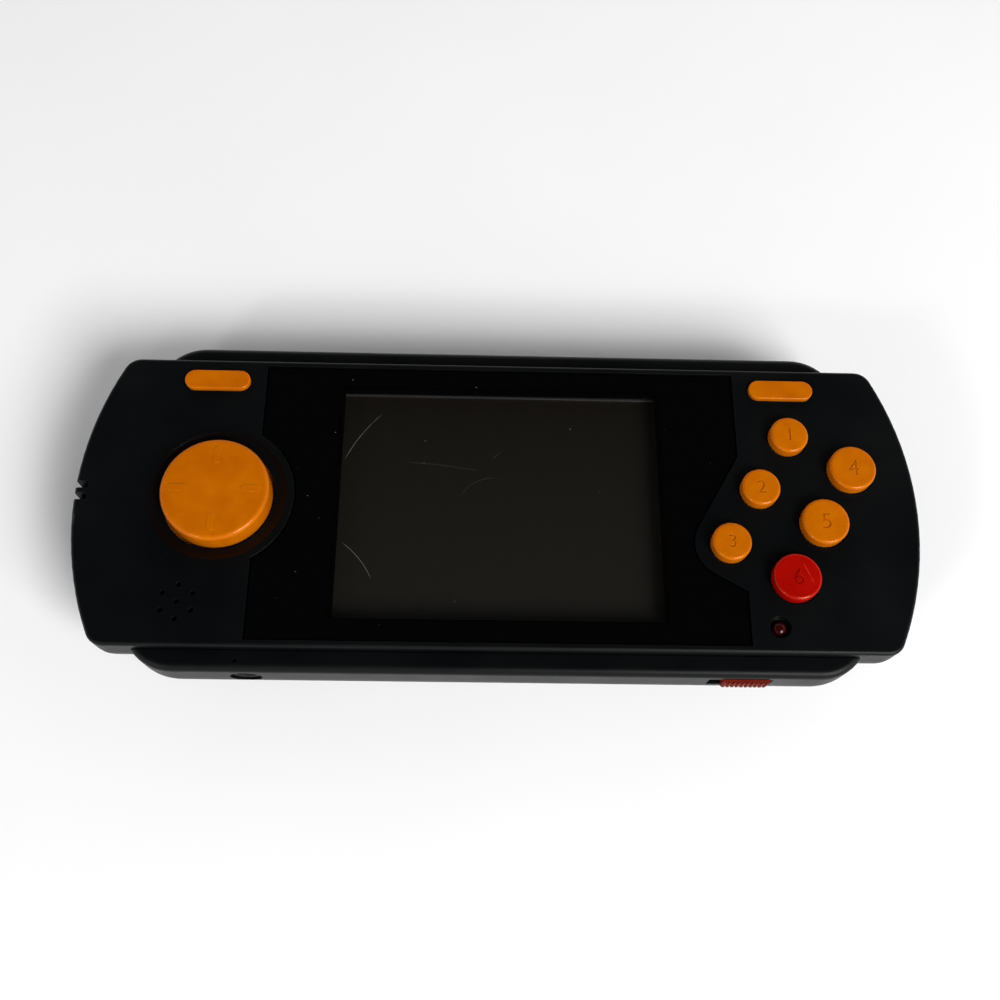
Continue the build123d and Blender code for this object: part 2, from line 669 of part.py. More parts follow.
def lcd_frame():
    """Folded metal tray round the display, with a window in its top."""
    frame = prism(lcd_plan(), LCD_Z, LCD_TOP)
    frame -= prism(lcd_plan(LCD_BORDER), LCD_Z + LCD_SHEET, LCD_TOP - LCD_SHEET)
    slot = block((-LCD_LENGTH, 0), span(0, RIBBON_WIDTH / 2 + RIBBON),
                 span(LCD_Z + LCD_SHEET + RIBBON, RIBBON))
    return frame - prism(screen_opening(WINDOW_MARGIN), LCD_Z + LCD_SHEET, LCD_TOP + OVERRUN) - slot


def lcd_glass():
    top = LCD_TOP - LCD_SHEET
    return prism(lcd_plan(LCD_BORDER + FIT), top - GLASS, top)


def lcd_backlight():
    low = LCD_Z + LCD_SHEET + 2 * RIBBON
    return prism(lcd_plan(LCD_BORDER + FIT), low, LCD_TOP - LCD_SHEET - GLASS)


def lcd_cushions():
    """Two foam strips between the display and the board."""
    strips = []
    for side in (-1, 1):
        middle = side * (LCD_WIDTH / 2 - CUSHION_IN)
        strips.append(block(span(0, SCREEN_LENGTH / 2), span(middle, CUSHION_WIDTH / 2), (BOARD_TOP, LCD_Z)))
    return Compound(children=strips)


def ribbon_path():
    """Line of the display's ribbon, seen along Y: out of the frame and through the board's slot."""
    start_x = LCD_SHIFT - LCD_LENGTH / 2 + 2 * LCD_BORDER
    top_z = LCD_Z + LCD_SHEET + RIBBON
    low_z = BOARD_Z - RIBBON
    out_x = LCD_SHIFT - LCD_LENGTH / 2 - RIBBON_OUT
    end_x = out_x + RIBBON_TAIL
    points = [(start_x, top_z), (out_x, top_z), (out_x, low_z), (end_x, low_z)]
    return FilletPolyline(*points, radius=RIBBON_BEND)


def lcd_ribbon():
    strip = trace(ribbon_path(), RIBBON)
    return extrude(Plane.XZ * strip, RIBBON_WIDTH / 2, both=True)


def ribbon_connector():
    """Connector under the board that grips the ribbon's tail."""
    low_x = LCD_SHIFT - LCD_LENGTH / 2 - RIBBON_OUT + RIBBON_TAIL - RIBBON_BEND
    body = block((low_x, low_x + CONNECTOR_LENGTH), span(0, RIBBON_WIDTH / 2 + RIBBON_OUT),
                 (BOARD_Z - CONNECTOR_HEIGHT, BOARD_Z))
    mouth = block((low_x - RIBBON_BEND, low_x + RIBBON_BEND + FIT), span(0, RIBBON_WIDTH / 2 + FIT),
                  span(BOARD_Z - RIBBON, RIBBON / 2 + FIT))
    return body - mouth


def main_board():
    """Board over the whole length, with tabs to the edge sockets, notches for the jacks and screw holes."""
    tab_y = SHELL_INSIDE_Y - BOARD_TAB_GAP
    low_x, high_x = -SEAM_X - BOARD_TAB_PAST[0], SEAM_X + BOARD_TAB_PAST[1]
    wide = Pos((low_x + high_x) / 2, 0) * Rectangle(high_x - low_x, 2 * tab_y)
    plan = wing_outline(WALL + BOARD_GAP, WALL + BOARD_GAP) + wide
    board = prism(plan, BOARD_Z, BOARD_TOP)
    inner = SHELL_INSIDE_Y - JACK_GAP - JACK_LENGTH - JACK_GAP
    half = JACK_WIDTH / 2 + JACK_GAP
    board -= block(span(PHONES_X, half), (-SHELL_Y, -inner), (BOARD_Z, BOARD_TOP))
    board -= block(span(AV_X, half), (inner, SHELL_Y), (BOARD_Z, BOARD_TOP))
    for at in posts():
        board -= rod(SCREW_RADIUS + SCREW_PLAY, BOARD_Z, BOARD_TOP, at)
    slot_x = LCD_SHIFT - LCD_LENGTH / 2 - RIBBON_OUT
    slot_y = span(0, RIBBON_WIDTH / 2 + RIBBON_PLAY)
    return board - block(span(slot_x, 2 * RIBBON), slot_y, (BOARD_Z, BOARD_TOP))


def under_board(size, y, side=1):
    """Flat part soldered under the board, in the right wing or the left one."""
    length, width, height = size
    x = END_X - RIGHT_PARTS_IN if side > 0 else LEFT_PARTS_IN - END_X
    return block(span(x, length / 2), span(y, width / 2), (BOARD_Z - height, BOARD_Z))


def filter_capacitors():
    cans = [rod(CAPACITOR_RADIUS, BOARD_Z - CAPACITOR_HEIGHT, BOARD_Z,
                (LEFT_PARTS_IN - END_X, CAPACITOR_Y + CAPACITOR_PITCH * step)) for step in range(CAPACITORS)]
    return Compound(children=cans)


def dpad_disc():
    """Hollow direction disc: four low ridges, a retaining flange, a ball socket and a foot over each dome."""
    top, flange_z = FACE_Z + DPAD_RISE, dpad_flange_z()
    disc = rod(DPAD_RADIUS, flange_z, top)
    disc = fillet(top_edges(disc), DPAD_EDGE)
    ridge = Pos(RIDGE_AT, 0) * SlotOverall(RIDGE_LENGTH, RIDGE_WIDTH)
    for turn in range(4):
        disc += Rot(0, 0, 90 * turn) * prism(ridge, top - RIDGE_RISE, top + RIDGE_RISE)
    disc += rod(DPAD_RADIUS + DPAD_FLANGE, flange_z, flange_z + DPAD_FLANGE_THICK)
    disc -= rod(DPAD_RADIUS - DPAD_HOLLOW, flange_z, top - DPAD_HOLLOW)
    disc += rod(PIVOT_BALL + PIVOT_SOCKET, flange_z, top - DPAD_HOLLOW / 2)
    for turn in range(4):
        disc += Rot(0, 0, 90 * turn) * rod(DPAD_FOOT, flange_z, top - DPAD_HOLLOW / 2, (DPAD_DOME_AT, 0))
    disc -= Pos(0, 0, pivot_z()) * Sphere(PIVOT_BALL + PIVOT_PLAY)
    disc -= Pos(0, 0, pivot_z()) * Rot(180, 0, 0) * Cone(
        PIVOT_BALL, PIVOT_BALL + PIVOT_SOCKET / 2, pivot_z() - flange_z + OVERRUN / 2, align=ON_FLOOR)
    return Pos(DPAD_X, DPAD_Y) * disc


def dpad_flange_z():
    """Underside of the disc's flange."""
    return BED_TOP - DPAD_ROOM - DPAD_FLANGE_THICK


def pivot_z():
    return dpad_flange_z() + PIVOT_BALL / 2


def dpad_pivot():
    """Stud with a ball end that stands on the board and carries the disc."""
    ball = Pos(0, 0, pivot_z()) * Sphere(PIVOT_BALL)
    stem = rod(PIVOT_STEM, BOARD_TOP + PIVOT_FOOT_GAP, pivot_z())
    return Pos(DPAD_X, DPAD_Y) * (ball + stem)


def dome(radius, top, at):
    """Rubber dome on the board, a little narrower at its top."""
    low = BOARD_TOP + PAD / 2
    return Pos(at[0], at[1], low) * Cone(radius, radius - DOME_SLOPE, top - low, align=ON_FLOOR)


def dpad_pad():
    """Round rubber sheet with four domes, open round the pivot."""
    sheet = rod(DPAD_RADIUS + DPAD_FLANGE + DPAD_GAP - FIT, BOARD_TOP, BOARD_TOP + PAD)
    for turn in range(4):
        angle = math.radians(90 * turn)
        at = (DPAD_DOME_AT * math.cos(angle), DPAD_DOME_AT * math.sin(angle))
        sheet += dome(DPAD_DOME, dpad_flange_z() - DOME_GAP, at)
    return Pos(DPAD_X, DPAD_Y) * (sheet - rod(DPAD_PAD_HOLE, 0, FACE_Z))


def cap_levels():
    """Heights of a button: under its stem, under its flange and over its flange."""
    over = BED_TOP - CAP_PLAY
    under = over - BUTTON_FLANGE_THICK
    return under - STEM_DROP, under, over


def round_button(radius, at):
    """Round cap with a softened top edge, a retaining flange and a short stem."""
    foot, under, over = cap_levels()
    cap = rod(radius, under, FACE_Z + BUTTON_RISE)
    cap = fillet(top_edges(cap), BUTTON_EDGE)
    cap += rod(radius + BUTTON_FLANGE, under, over)
    cap += rod(radius - BUTTON_STEM_INSET, foot, under)
    return Pos(*at) * cap


def action_pad():
    """Rubber sheet with one dome under each round button."""
    sheet, domes = None, None
    foot = cap_levels()[0]
    for radius, dome_radius, at in button_places().values():
        disc = Pos(*at) * Circle(dome_radius + PAD_MARGIN)
        sheet = disc if sheet is None else sheet + disc
        one = dome(dome_radius, foot - DOME_GAP, at)
        domes = one if domes is None else domes + one
    places = [at for radius, dome_radius, at in button_places().values()]
    ring = [places[step] for step in (0, 1, 2, 5, 4, 3)]
    sheet += make_face(Polyline(*ring, close=True))
    return prism(sheet, BOARD_TOP, BOARD_TOP + PAD) + domes


def menu_button(side):
    """Low button with round ends and a flange."""
    foot, under, over = cap_levels()
    plan = SlotOverall(MENU_LENGTH, MENU_WIDTH)
    cap = prism(plan, under, FACE_Z + MENU_RISE)
    cap = fillet(top_edges(cap), MENU_EDGE)
    cap += prism(SlotOverall(MENU_LENGTH + 2 * MENU_FLANGE, MENU_WIDTH + 2 * MENU_FLANGE), under, over)
    cap += prism(SlotOverall(MENU_LENGTH - MENU_WIDTH / 2, MENU_WIDTH / 2), foot, under)
    return Pos(side * MENU_X, MENU_Y) * cap


def menu_pad(side):
    """Rubber strip with one dome under a menu button."""
    foot = cap_levels()[0]
    strip = prism(RectangleRounded(MENU_LENGTH - 2 * MENU_PAD_INSET, MENU_WIDTH + MENU_FLANGE, MENU_FLANGE),
                  BOARD_TOP, BOARD_TOP + PAD)
    return Pos(side * MENU_X, MENU_Y) * (strip + dome(MENU_DOME, foot - DOME_GAP, (0, 0)))


def power_led():
    """Round light with a domed top, a flange at its foot and two leads to the board."""
    top = FACE_Z - LED_TOP_DROP
    low = top - LED_BODY
    body = rod(LED_RADIUS, low, top - LED_RADIUS) + Pos(0, 0, top - LED_RADIUS) * Sphere(LED_RADIUS)
    body += rod(LED_FLANGE, low, low + LED_FLANGE_THICK)
    for side in (-1, 1):
        body += rod(LED_LEAD, BOARD_TOP, low, (side * LED_LEAD_PITCH, 0))
    return Pos(LED_X, LED_Y) * body


def speaker():
    """Oval loudspeaker under the holes, with a dished cone in front and its magnet behind."""
    plan = RectangleRounded(SPEAKER_LENGTH, SPEAKER_WIDTH, SPEAKER_CORNER)
    cone = RectangleRounded(SPEAKER_LENGTH - 2 * SPEAKER_RING, SPEAKER_WIDTH - 2 * SPEAKER_RING,
                            SPEAKER_CORNER - SPEAKER_RING)
    low = BED_TOP - SPEAKER_HEIGHT
    body = prism(plan, low, BED_TOP) - prism(cone, BED_TOP - SPEAKER_DISH, BED_TOP)
    body += rod(SPEAKER_MAGNET, low - SPEAKER_MAGNET_DROP, low)
    return Pos(GRILLE_X, GRILLE_Y) * body


def speaker_wires():
    """Two short wires from the speaker's end down to the board."""
    start_z = BED_TOP - SPEAKER_HEIGHT / 2
    start_x = GRILLE_X - SPEAKER_LENGTH / 2
    bend = (start_z - BOARD_TOP) / 2
    wires = []
    for side in (-1, 1):
        y = GRILLE_Y + side * WIRE_PITCH / 2
        path = FilletPolyline((start_x, y, start_z), (start_x - WIRE_OUT - WIRE_RADIUS, y, start_z),
                              (start_x - WIRE_OUT - WIRE_RADIUS, y, BOARD_TOP), radius=min(bend, WIRE_OUT))
        wires.append(sweep(Plane(path @ 0, z_dir=path % 0) * Circle(WIRE_RADIUS), path))
    return Compound(children=wires)


def power_knob():
    """Ribbed thumb piece in the near edge, on a plate that slides behind the wall."""
    half, outer = KNOB_LENGTH / 2, -SHELL_Y - PROUD
    knob = block(span(KNOB_X, half), (outer, PLATE_Y), span(KNOB_Z, KNOB_HEIGHT / 2))
    corners = knob.faces().sort_by(Axis.Y)[0].edges().filter_by(Axis.Z)
    knob = fillet(corners, KNOB_EDGE)
    pitch = KNOB_LENGTH / (KNOB_RIBS + 1)
    groove = pitch * KNOB_GROOVE_SHARE
    for step in range(KNOB_RIBS):
        x = KNOB_X - half + pitch * (step + 1)
        knob -= block(span(x, groove / 2), (outer - OVERRUN, outer + KNOB_RIB_DEPTH), (0, FACE_Z))
    low_x, high_x = slot_limits()
    knob += block((low_x - KNOB_PLAY, high_x + KNOB_TRAVEL + KNOB_PLAY), (PLATE_Y, PLATE_Y + PLATE),
                  span(KNOB_Z, SLOT_HALF + PLATE_LAP))
    hole = LEVER / 2 + LEVER_PLAY
    return knob - block(span(KNOB_X, hole), (PLATE_Y + LEVER_PLAY, 0), span(KNOB_Z, hole))


def switch_front():
    """Near face of the power switch."""
    return PLATE_Y + PLATE + SWITCH_GAP


def switch_lever():
    """Lever of the power switch, held in the knob's plate."""
    ys = (PLATE_Y + 2 * LEVER_PLAY, switch_front() + LEVER_REACH)
    return block(span(KNOB_X, LEVER / 2), ys, span(KNOB_Z, LEVER / 2))


def power_switch():
    """Slide switch on the board, with a slot for its lever."""
    middle = KNOB_X - KNOB_TRAVEL / 2
    front = switch_front()
    body = block(span(middle, SWITCH_LENGTH / 2), (front, front + SWITCH_WIDTH),
                 (BOARD_TOP, BOARD_TOP + SWITCH_HEIGHT))
    hole = LEVER / 2 + LEVER_PLAY
    return body - block(span(middle, hole + KNOB_TRAVEL / 2),
                        (front - OVERRUN, front + LEVER_REACH + LEVER_PLAY), span(KNOB_Z, hole))


def volume_wheel():
    """Thumb wheel with a notched edge."""
    wheel = rod(WHEEL_RADIUS, WHEEL_Z, WHEEL_Z + WHEEL_THICK)
    for step in range(WHEEL_TEETH):
        angle = math.radians(360 * (step + 0.5) / WHEEL_TEETH)
        at = (WHEEL_RADIUS * math.cos(angle), WHEEL_RADIUS * math.sin(angle))
        wheel -= rod(WHEEL_TOOTH, 0, FACE_Z, at)
    wheel -= rod(SPINDLE + SPINDLE_PLAY, 0, FACE_Z)
    return Pos(WHEEL_X, WHEEL_Y) * wheel


def volume_pot():
    """Rotary control on the board, with the spindle that the wheel turns on."""
    body = rod(POT_RADIUS, BOARD_TOP, BOARD_TOP + POT_HEIGHT)
    return Pos(WHEEL_X, WHEEL_Y) * (body + rod(SPINDLE, BOARD_TOP, WHEEL_Z + WHEEL_THICK))


def jack():
    """Round socket with its mouth towards -Y, its axis at the origin and its front face on the origin."""
    body = block(span(0, JACK_WIDTH / 2), (0, JACK_LENGTH), span(0, JACK_HEIGHT / 2))
    nose = extrude(Plane.XZ * Circle(JACK_NOSE), JACK_NOSE_LENGTH)
    bore = extrude(Pos(0, JACK_LENGTH - JACK_BACK, 0) * (Plane.XZ * Circle(JACK_BORE)), JACK_LENGTH + OVERRUN)
    return body + nose - bore


def headphone_jack():
    return Pos(PHONES_X, -SHELL_INSIDE_Y + JACK_GAP, JACK_Z) * jack()


def av_jack():
    return Pos(AV_X, SHELL_INSIDE_Y - JACK_GAP, JACK_Z) * Rot(0, 0, 180) * jack()


def usb_socket():
    """Charging socket under the board: a metal sleeve with a tongue inside."""
    mouth = SHELL_Y - SOCKET_DROP
    half, low = USB_WIDTH / 2, BOARD_Z - USB_HEIGHT
    sleeve = block(span(USB_X, half), (mouth - USB_DEPTH, mouth), (low, BOARD_Z))
    sleeve -= block(span(USB_X, half - USB_SHEET), (mouth - USB_DEPTH + 2 * USB_SHEET, SHELL_Y),
                    (low + USB_SHEET, BOARD_Z - USB_SHEET))
    tongue = block(span(USB_X, half / 2), (mouth - USB_DEPTH + USB_SHEET, mouth - USB_TONGUE),
                   span(BOARD_Z - USB_HEIGHT / 2, USB_TONGUE / 2))
    return sleeve + tongue


def card_socket():
    """Memory card socket under the board: a flat metal box open to the far edge."""
    mouth = SHELL_Y - SOCKET_DROP
    low = BOARD_Z - CARD_HEIGHT
    box = block(span(CARD_X, CARD_WIDTH / 2), (mouth - CARD_DEPTH, mouth), (low, BOARD_Z))
    return box - block(span(CARD_X, CARD_SLOT_WIDTH / 2), (mouth - CARD_DEPTH + 2 * CARD_SHEET, SHELL_Y),
                       (low + CARD_SHEET, BOARD_Z - CARD_SHEET))


def battery_pack():
    low = DOOR + BATTERY_PLAY
    pack = block((BATTERY_LOW_X, BATTERY_HIGH_X), span(0, BATTERY_WIDTH / 2), (low, low + BATTERY_HEIGHT))
    return fillet(pack.edges(), BATTERY_EDGE)


def contact_x():
    """Middle of the contacts' upright strips, inside their block."""
    return BAY_HIGH_X - CONTACT_BLOCK / 2


def contact_places():
    return [CONTACT_PITCH * step for step in (-1, 0, 1)]


def contact_block():
    """Plastic block at the bay's end, slotted for the contacts."""
    face_x = BAY_HIGH_X - CONTACT_BLOCK
    body = block((face_x, BAY_HIGH_X), span(0, CONTACT_BLOCK_WIDTH / 2), (DOOR + BATTERY_PLAY, BAY_ROOF_Z))
    slot_x = (face_x - OVERRUN, contact_x() + CONTACT_SHEET / 2 + FIT)
    for y in contact_places():
        body -= block(slot_x, span(y, CONTACT_WIDTH / 2 + FIT),
                      (DOOR + CONTACT_FOOT - CONTACT_SHEET, BAY_ROOF_Z))
    return body


def battery_contacts():
    """Three bent spring strips: up through the bay's roof to the board, and bowed against the battery."""
    x, foot = contact_x(), DOOR + CONTACT_FOOT
    touch = BATTERY_HIGH_X + CONTACT_SHEET / 2 + FIT
    crown = BAY_ROOF_Z - BATTERY_PLAY - BATTERY_EDGE
    upright = Line((x, BOARD_Z), (x, foot))
    bow = ThreePointArc((x, foot), (touch, (foot + crown) / 2), (x - 2 * CONTACT_SHEET, crown))
    strip = trace([upright, bow], CONTACT_SHEET)
    one = extrude(Plane.XZ * strip, CONTACT_WIDTH / 2, both=True)
    return Compound(children=[Pos(0, y, 0) * one for y in contact_places()])


def battery_door():
    """Door with a rim, two tabs that hook into the bay's end wall, finger grooves and a sunk screw hole."""
    door = prism(door_plan(), 0, DOOR - FIT)
    wall_x = BAY_HIGH_X
    for ys in door_tab_places():
        door += block((wall_x - DOOR_TAB_ROOT, wall_x - DOOR_PLAY), ys, (DOOR / 2, DOOR + DOOR_PLAY))
        door += block((wall_x - DOOR_TAB_ROOT, door_tab_tip()), ys,
                      (DOOR + DOOR_PLAY, DOOR + DOOR_PLAY + DOOR_TAB_THICK))
    screw_x, screw_y = door_screw_place()
    door -= rod(SCREW_RADIUS + SCREW_PLAY, -OVERRUN, DOOR + OVERRUN, (screw_x, screw_y))
    door -= rod(SCREW_HEAD + SCREW_PLAY, -OVERRUN, DOOR_SCREW_SINK, (screw_x, screw_y))
    first = screw_x + SCREW_HEAD + 2 * DOOR_GRIP_PITCH
    for step in range(DOOR_GRIPS):
        x = first + DOOR_GRIP_PITCH * step
        door -= block(span(x, DOOR_GRIP_WIDTH / 2), span(0, DOOR_GRIP / 2), (-OVERRUN, DOOR_GRIP_DEPTH))
    return door


def screw(head_low, seat, length):
    """Screw standing head down: a flat head below its seat and a plain shank above it."""
    return rod(SCREW_HEAD, head_low, seat) + rod(SCREW_RADIUS, seat, seat + length)


def battery_door_screw():
    low = DOOR_SCREW_SINK - SCREW_HEAD_HEIGHT / 2
    return Pos(*door_screw_place()) * screw(low, DOOR_SCREW_SINK, DOOR_SCREW_LENGTH)


def case_screws():
    one = screw(SCREW_SINK - SCREW_HEAD_HEIGHT, SCREW_SINK, SCREW_LENGTH)
    return Compound(children=[Pos(*at) * one for at in posts()])


def nodes():
    """Every piece of the console by name."""
    pieces = {
        "front_cover": front_cover(),
        "back_cover": back_cover(),
        "screen_lens": screen_lens(),
        "lens_tape": lens_tape(),
        "screen_gasket": screen_gasket(),
        "lcd_frame": lcd_frame(),
        "lcd_glass": lcd_glass(),
        "lcd_backlight": lcd_backlight(),
        "lcd_cushions": lcd_cushions(),
        "lcd_ribbon": lcd_ribbon(),
        "ribbon_connector": ribbon_connector(),
        "main_board": main_board(),
        "main_chip": under_board(MAIN_CHIP, MAIN_CHIP_Y),
        "memory_chip": under_board(MEMORY_CHIP, MEMORY_CHIP_Y),
        "amplifier_chip": under_board(AMPLIFIER_CHIP, AMPLIFIER_CHIP_Y, -1),
        "crystal_can": under_board(CRYSTAL, CRYSTAL_Y),
        "filter_capacitors": filter_capacitors(),
        "dpad_disc": dpad_disc(),
        "dpad_pivot": dpad_pivot(),
        "dpad_pad": dpad_pad(),
        "action_pad": action_pad(),
        "left_menu_button": menu_button(-1),
        "right_menu_button": menu_button(1),
        "left_menu_pad": menu_pad(-1),
        "right_menu_pad": menu_pad(1),
        "power_led": power_led(),
        "speaker": speaker(),
        "speaker_wires": speaker_wires(),
        "power_knob": power_knob(),
        "switch_lever": switch_lever(),
        "power_switch": power_switch(),
        "volume_wheel": volume_wheel(),
        "volume_pot": volume_pot(),
        "headphone_jack": headphone_jack(),
        "av_jack": av_jack(),
        "usb_socket": usb_socket(),
        "card_socket": card_socket(),
        "battery_pack": battery_pack(),
        "contact_block": contact_block(),
        "battery_contacts": battery_contacts(),
        "battery_door": battery_door(),
        "battery_door_screw": battery_door_screw(),
        "case_screws": case_screws(),
    }
    for name, (radius, dome_radius, at) in button_places().items():
        pieces[name] = round_button(radius, at)
    return pieces


os.makedirs("parts", exist_ok=True)
for name, piece in nodes().items():
    export_step(piece, f"parts/{name}.step")
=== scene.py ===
import json
import math

import bpy
from mathutils import Euler, Matrix, Vector


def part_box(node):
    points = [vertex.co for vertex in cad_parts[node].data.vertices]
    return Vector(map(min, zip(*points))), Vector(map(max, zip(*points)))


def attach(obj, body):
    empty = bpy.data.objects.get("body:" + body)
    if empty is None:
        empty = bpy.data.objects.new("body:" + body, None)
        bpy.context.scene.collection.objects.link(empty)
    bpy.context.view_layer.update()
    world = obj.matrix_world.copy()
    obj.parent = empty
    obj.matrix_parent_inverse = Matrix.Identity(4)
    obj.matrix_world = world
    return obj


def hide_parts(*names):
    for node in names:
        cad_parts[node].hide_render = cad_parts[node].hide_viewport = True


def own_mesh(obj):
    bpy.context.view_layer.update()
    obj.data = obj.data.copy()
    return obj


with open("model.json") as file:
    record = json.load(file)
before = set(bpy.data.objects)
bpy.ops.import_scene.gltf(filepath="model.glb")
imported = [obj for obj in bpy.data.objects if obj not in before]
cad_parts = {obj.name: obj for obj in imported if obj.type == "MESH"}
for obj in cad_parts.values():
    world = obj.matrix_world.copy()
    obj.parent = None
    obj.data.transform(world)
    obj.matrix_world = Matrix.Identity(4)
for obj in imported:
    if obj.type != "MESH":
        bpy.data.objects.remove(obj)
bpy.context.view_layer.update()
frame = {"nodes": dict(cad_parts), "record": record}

nodes = frame["nodes"]

# Named sizes and places are in millimetres and angles in degrees, but the lamps are placed in metres
MM = 0.001


# Camera and light

SENSOR_WIDTH = 36.0
FOCAL_LENGTH = 38.861
CAMERA_PLACE = (-4.980, -71.283, 197.934)
CAMERA_TURN = (21.704, -1.721, 0.333)
NEAREST_SEEN = 10.0
FARTHEST_SEEN = 50000.0

# How pale the room is from the horizon, at 0, to straight above, at 1
ROOM_LEVELS = ((0.0, 0.95), (0.30, 0.80), (0.72, 0.10), (0.86, 0.03), (1.0, 0.03))
ROOM_STRENGTH = 1.27

# Each lamp's name, place, two sides in metres and power in watts
LAMPS = (
    ("key_lamp", (0.62, -0.75, 0.80), (0.55, 0.55), 17.6),
    ("fill_lamp", (-0.66, -0.80, 0.60), (0.13, 0.12), 2.0),
)


def point_camera():
    """The close camera above the console's near edge."""
    data = bpy.data.cameras.new("camera")
    data.sensor_width = SENSOR_WIDTH
    data.lens = FOCAL_LENGTH
    data.clip_start = NEAREST_SEEN * MM
    data.clip_end = FARTHEST_SEEN * MM
    camera = bpy.data.objects.new("camera", data)
    bpy.context.scene.collection.objects.link(camera)
    place = Vector(CAMERA_PLACE) * MM
    turn = Euler([math.radians(angle) for angle in CAMERA_TURN])
    camera.matrix_world = Matrix.Translation(place) @ turn.to_matrix().to_4x4()
    bpy.context.scene.camera = camera


def lamp(name, place, sides, power):
    """Soft four-sided lamp that faces the console."""
    data = bpy.data.lights.new(name, "AREA")
    data.shape = "RECTANGLE"
    data.size, data.size_y = sides
    data.energy = power
    light = bpy.data.objects.new(name, data)
    bpy.context.scene.collection.objects.link(light)
    aim = (-Vector(place)).to_track_quat("-Z", "Y")
    light.matrix_world = Matrix.Translation(place) @ aim.to_matrix().to_4x4()


def light_the_room():
    """Pale walls low down, a dark ceiling, and soft lamps in front: a large one right, a small one left."""
    world = bpy.data.worlds.new("room")
    bpy.context.scene.world = world
    world.use_nodes = True
    tree = world.node_tree
    tree.nodes.clear()
    output = tree.nodes.new("ShaderNodeOutputWorld")
    background = tree.nodes.new("ShaderNodeBackground")
    where = tree.nodes.new("ShaderNodeTexCoord")
    split = tree.nodes.new("ShaderNodeSeparateXYZ")
    ramp = tree.nodes.new("ShaderNodeValToRGB")
    ramp.color_ramp.interpolation = "EASE"
    while len(ramp.color_ramp.elements) < len(ROOM_LEVELS):
        ramp.color_ramp.elements.new(0.5)
    for element, (height, level) in zip(ramp.color_ramp.elements, ROOM_LEVELS):
        element.position = height
        element.color = grey(level)
    tree.links.new(where.outputs["Generated"], split.inputs[0])
    tree.links.new(split.outputs["Z"], ramp.inputs[0])
    tree.links.new(ramp.outputs["Color"], background.inputs["Color"])
    background.inputs["Strength"].default_value = ROOM_STRENGTH
    tree.links.new(background.outputs[0], output.inputs[0])
    for row in LAMPS:
        lamp(*row)


# Materials

# The range that nearly all of a noise lies in
NOISE_LOW = 0.3
NOISE_HIGH = 0.7

# How much of the pale colour shows where a button's edge is worn
EDGE_WEAR = 0.45

# How far the display reaches to each side of its middle, far and near
DISPLAY_REACH = 22.0


def grey(level):
    return (level, level, level, 1.0)


def srgb(red, green, blue):
    """Colour given by its three values from 0 to 255 on a colour chart, made linear."""
    levels = []
    for value in (red, green, blue):
        value /= 255.0
        levels.append(value / 12.92 if value <= 0.04045 else ((value + 0.055) / 1.055) ** 2.4)
    return (*levels, 1.0)


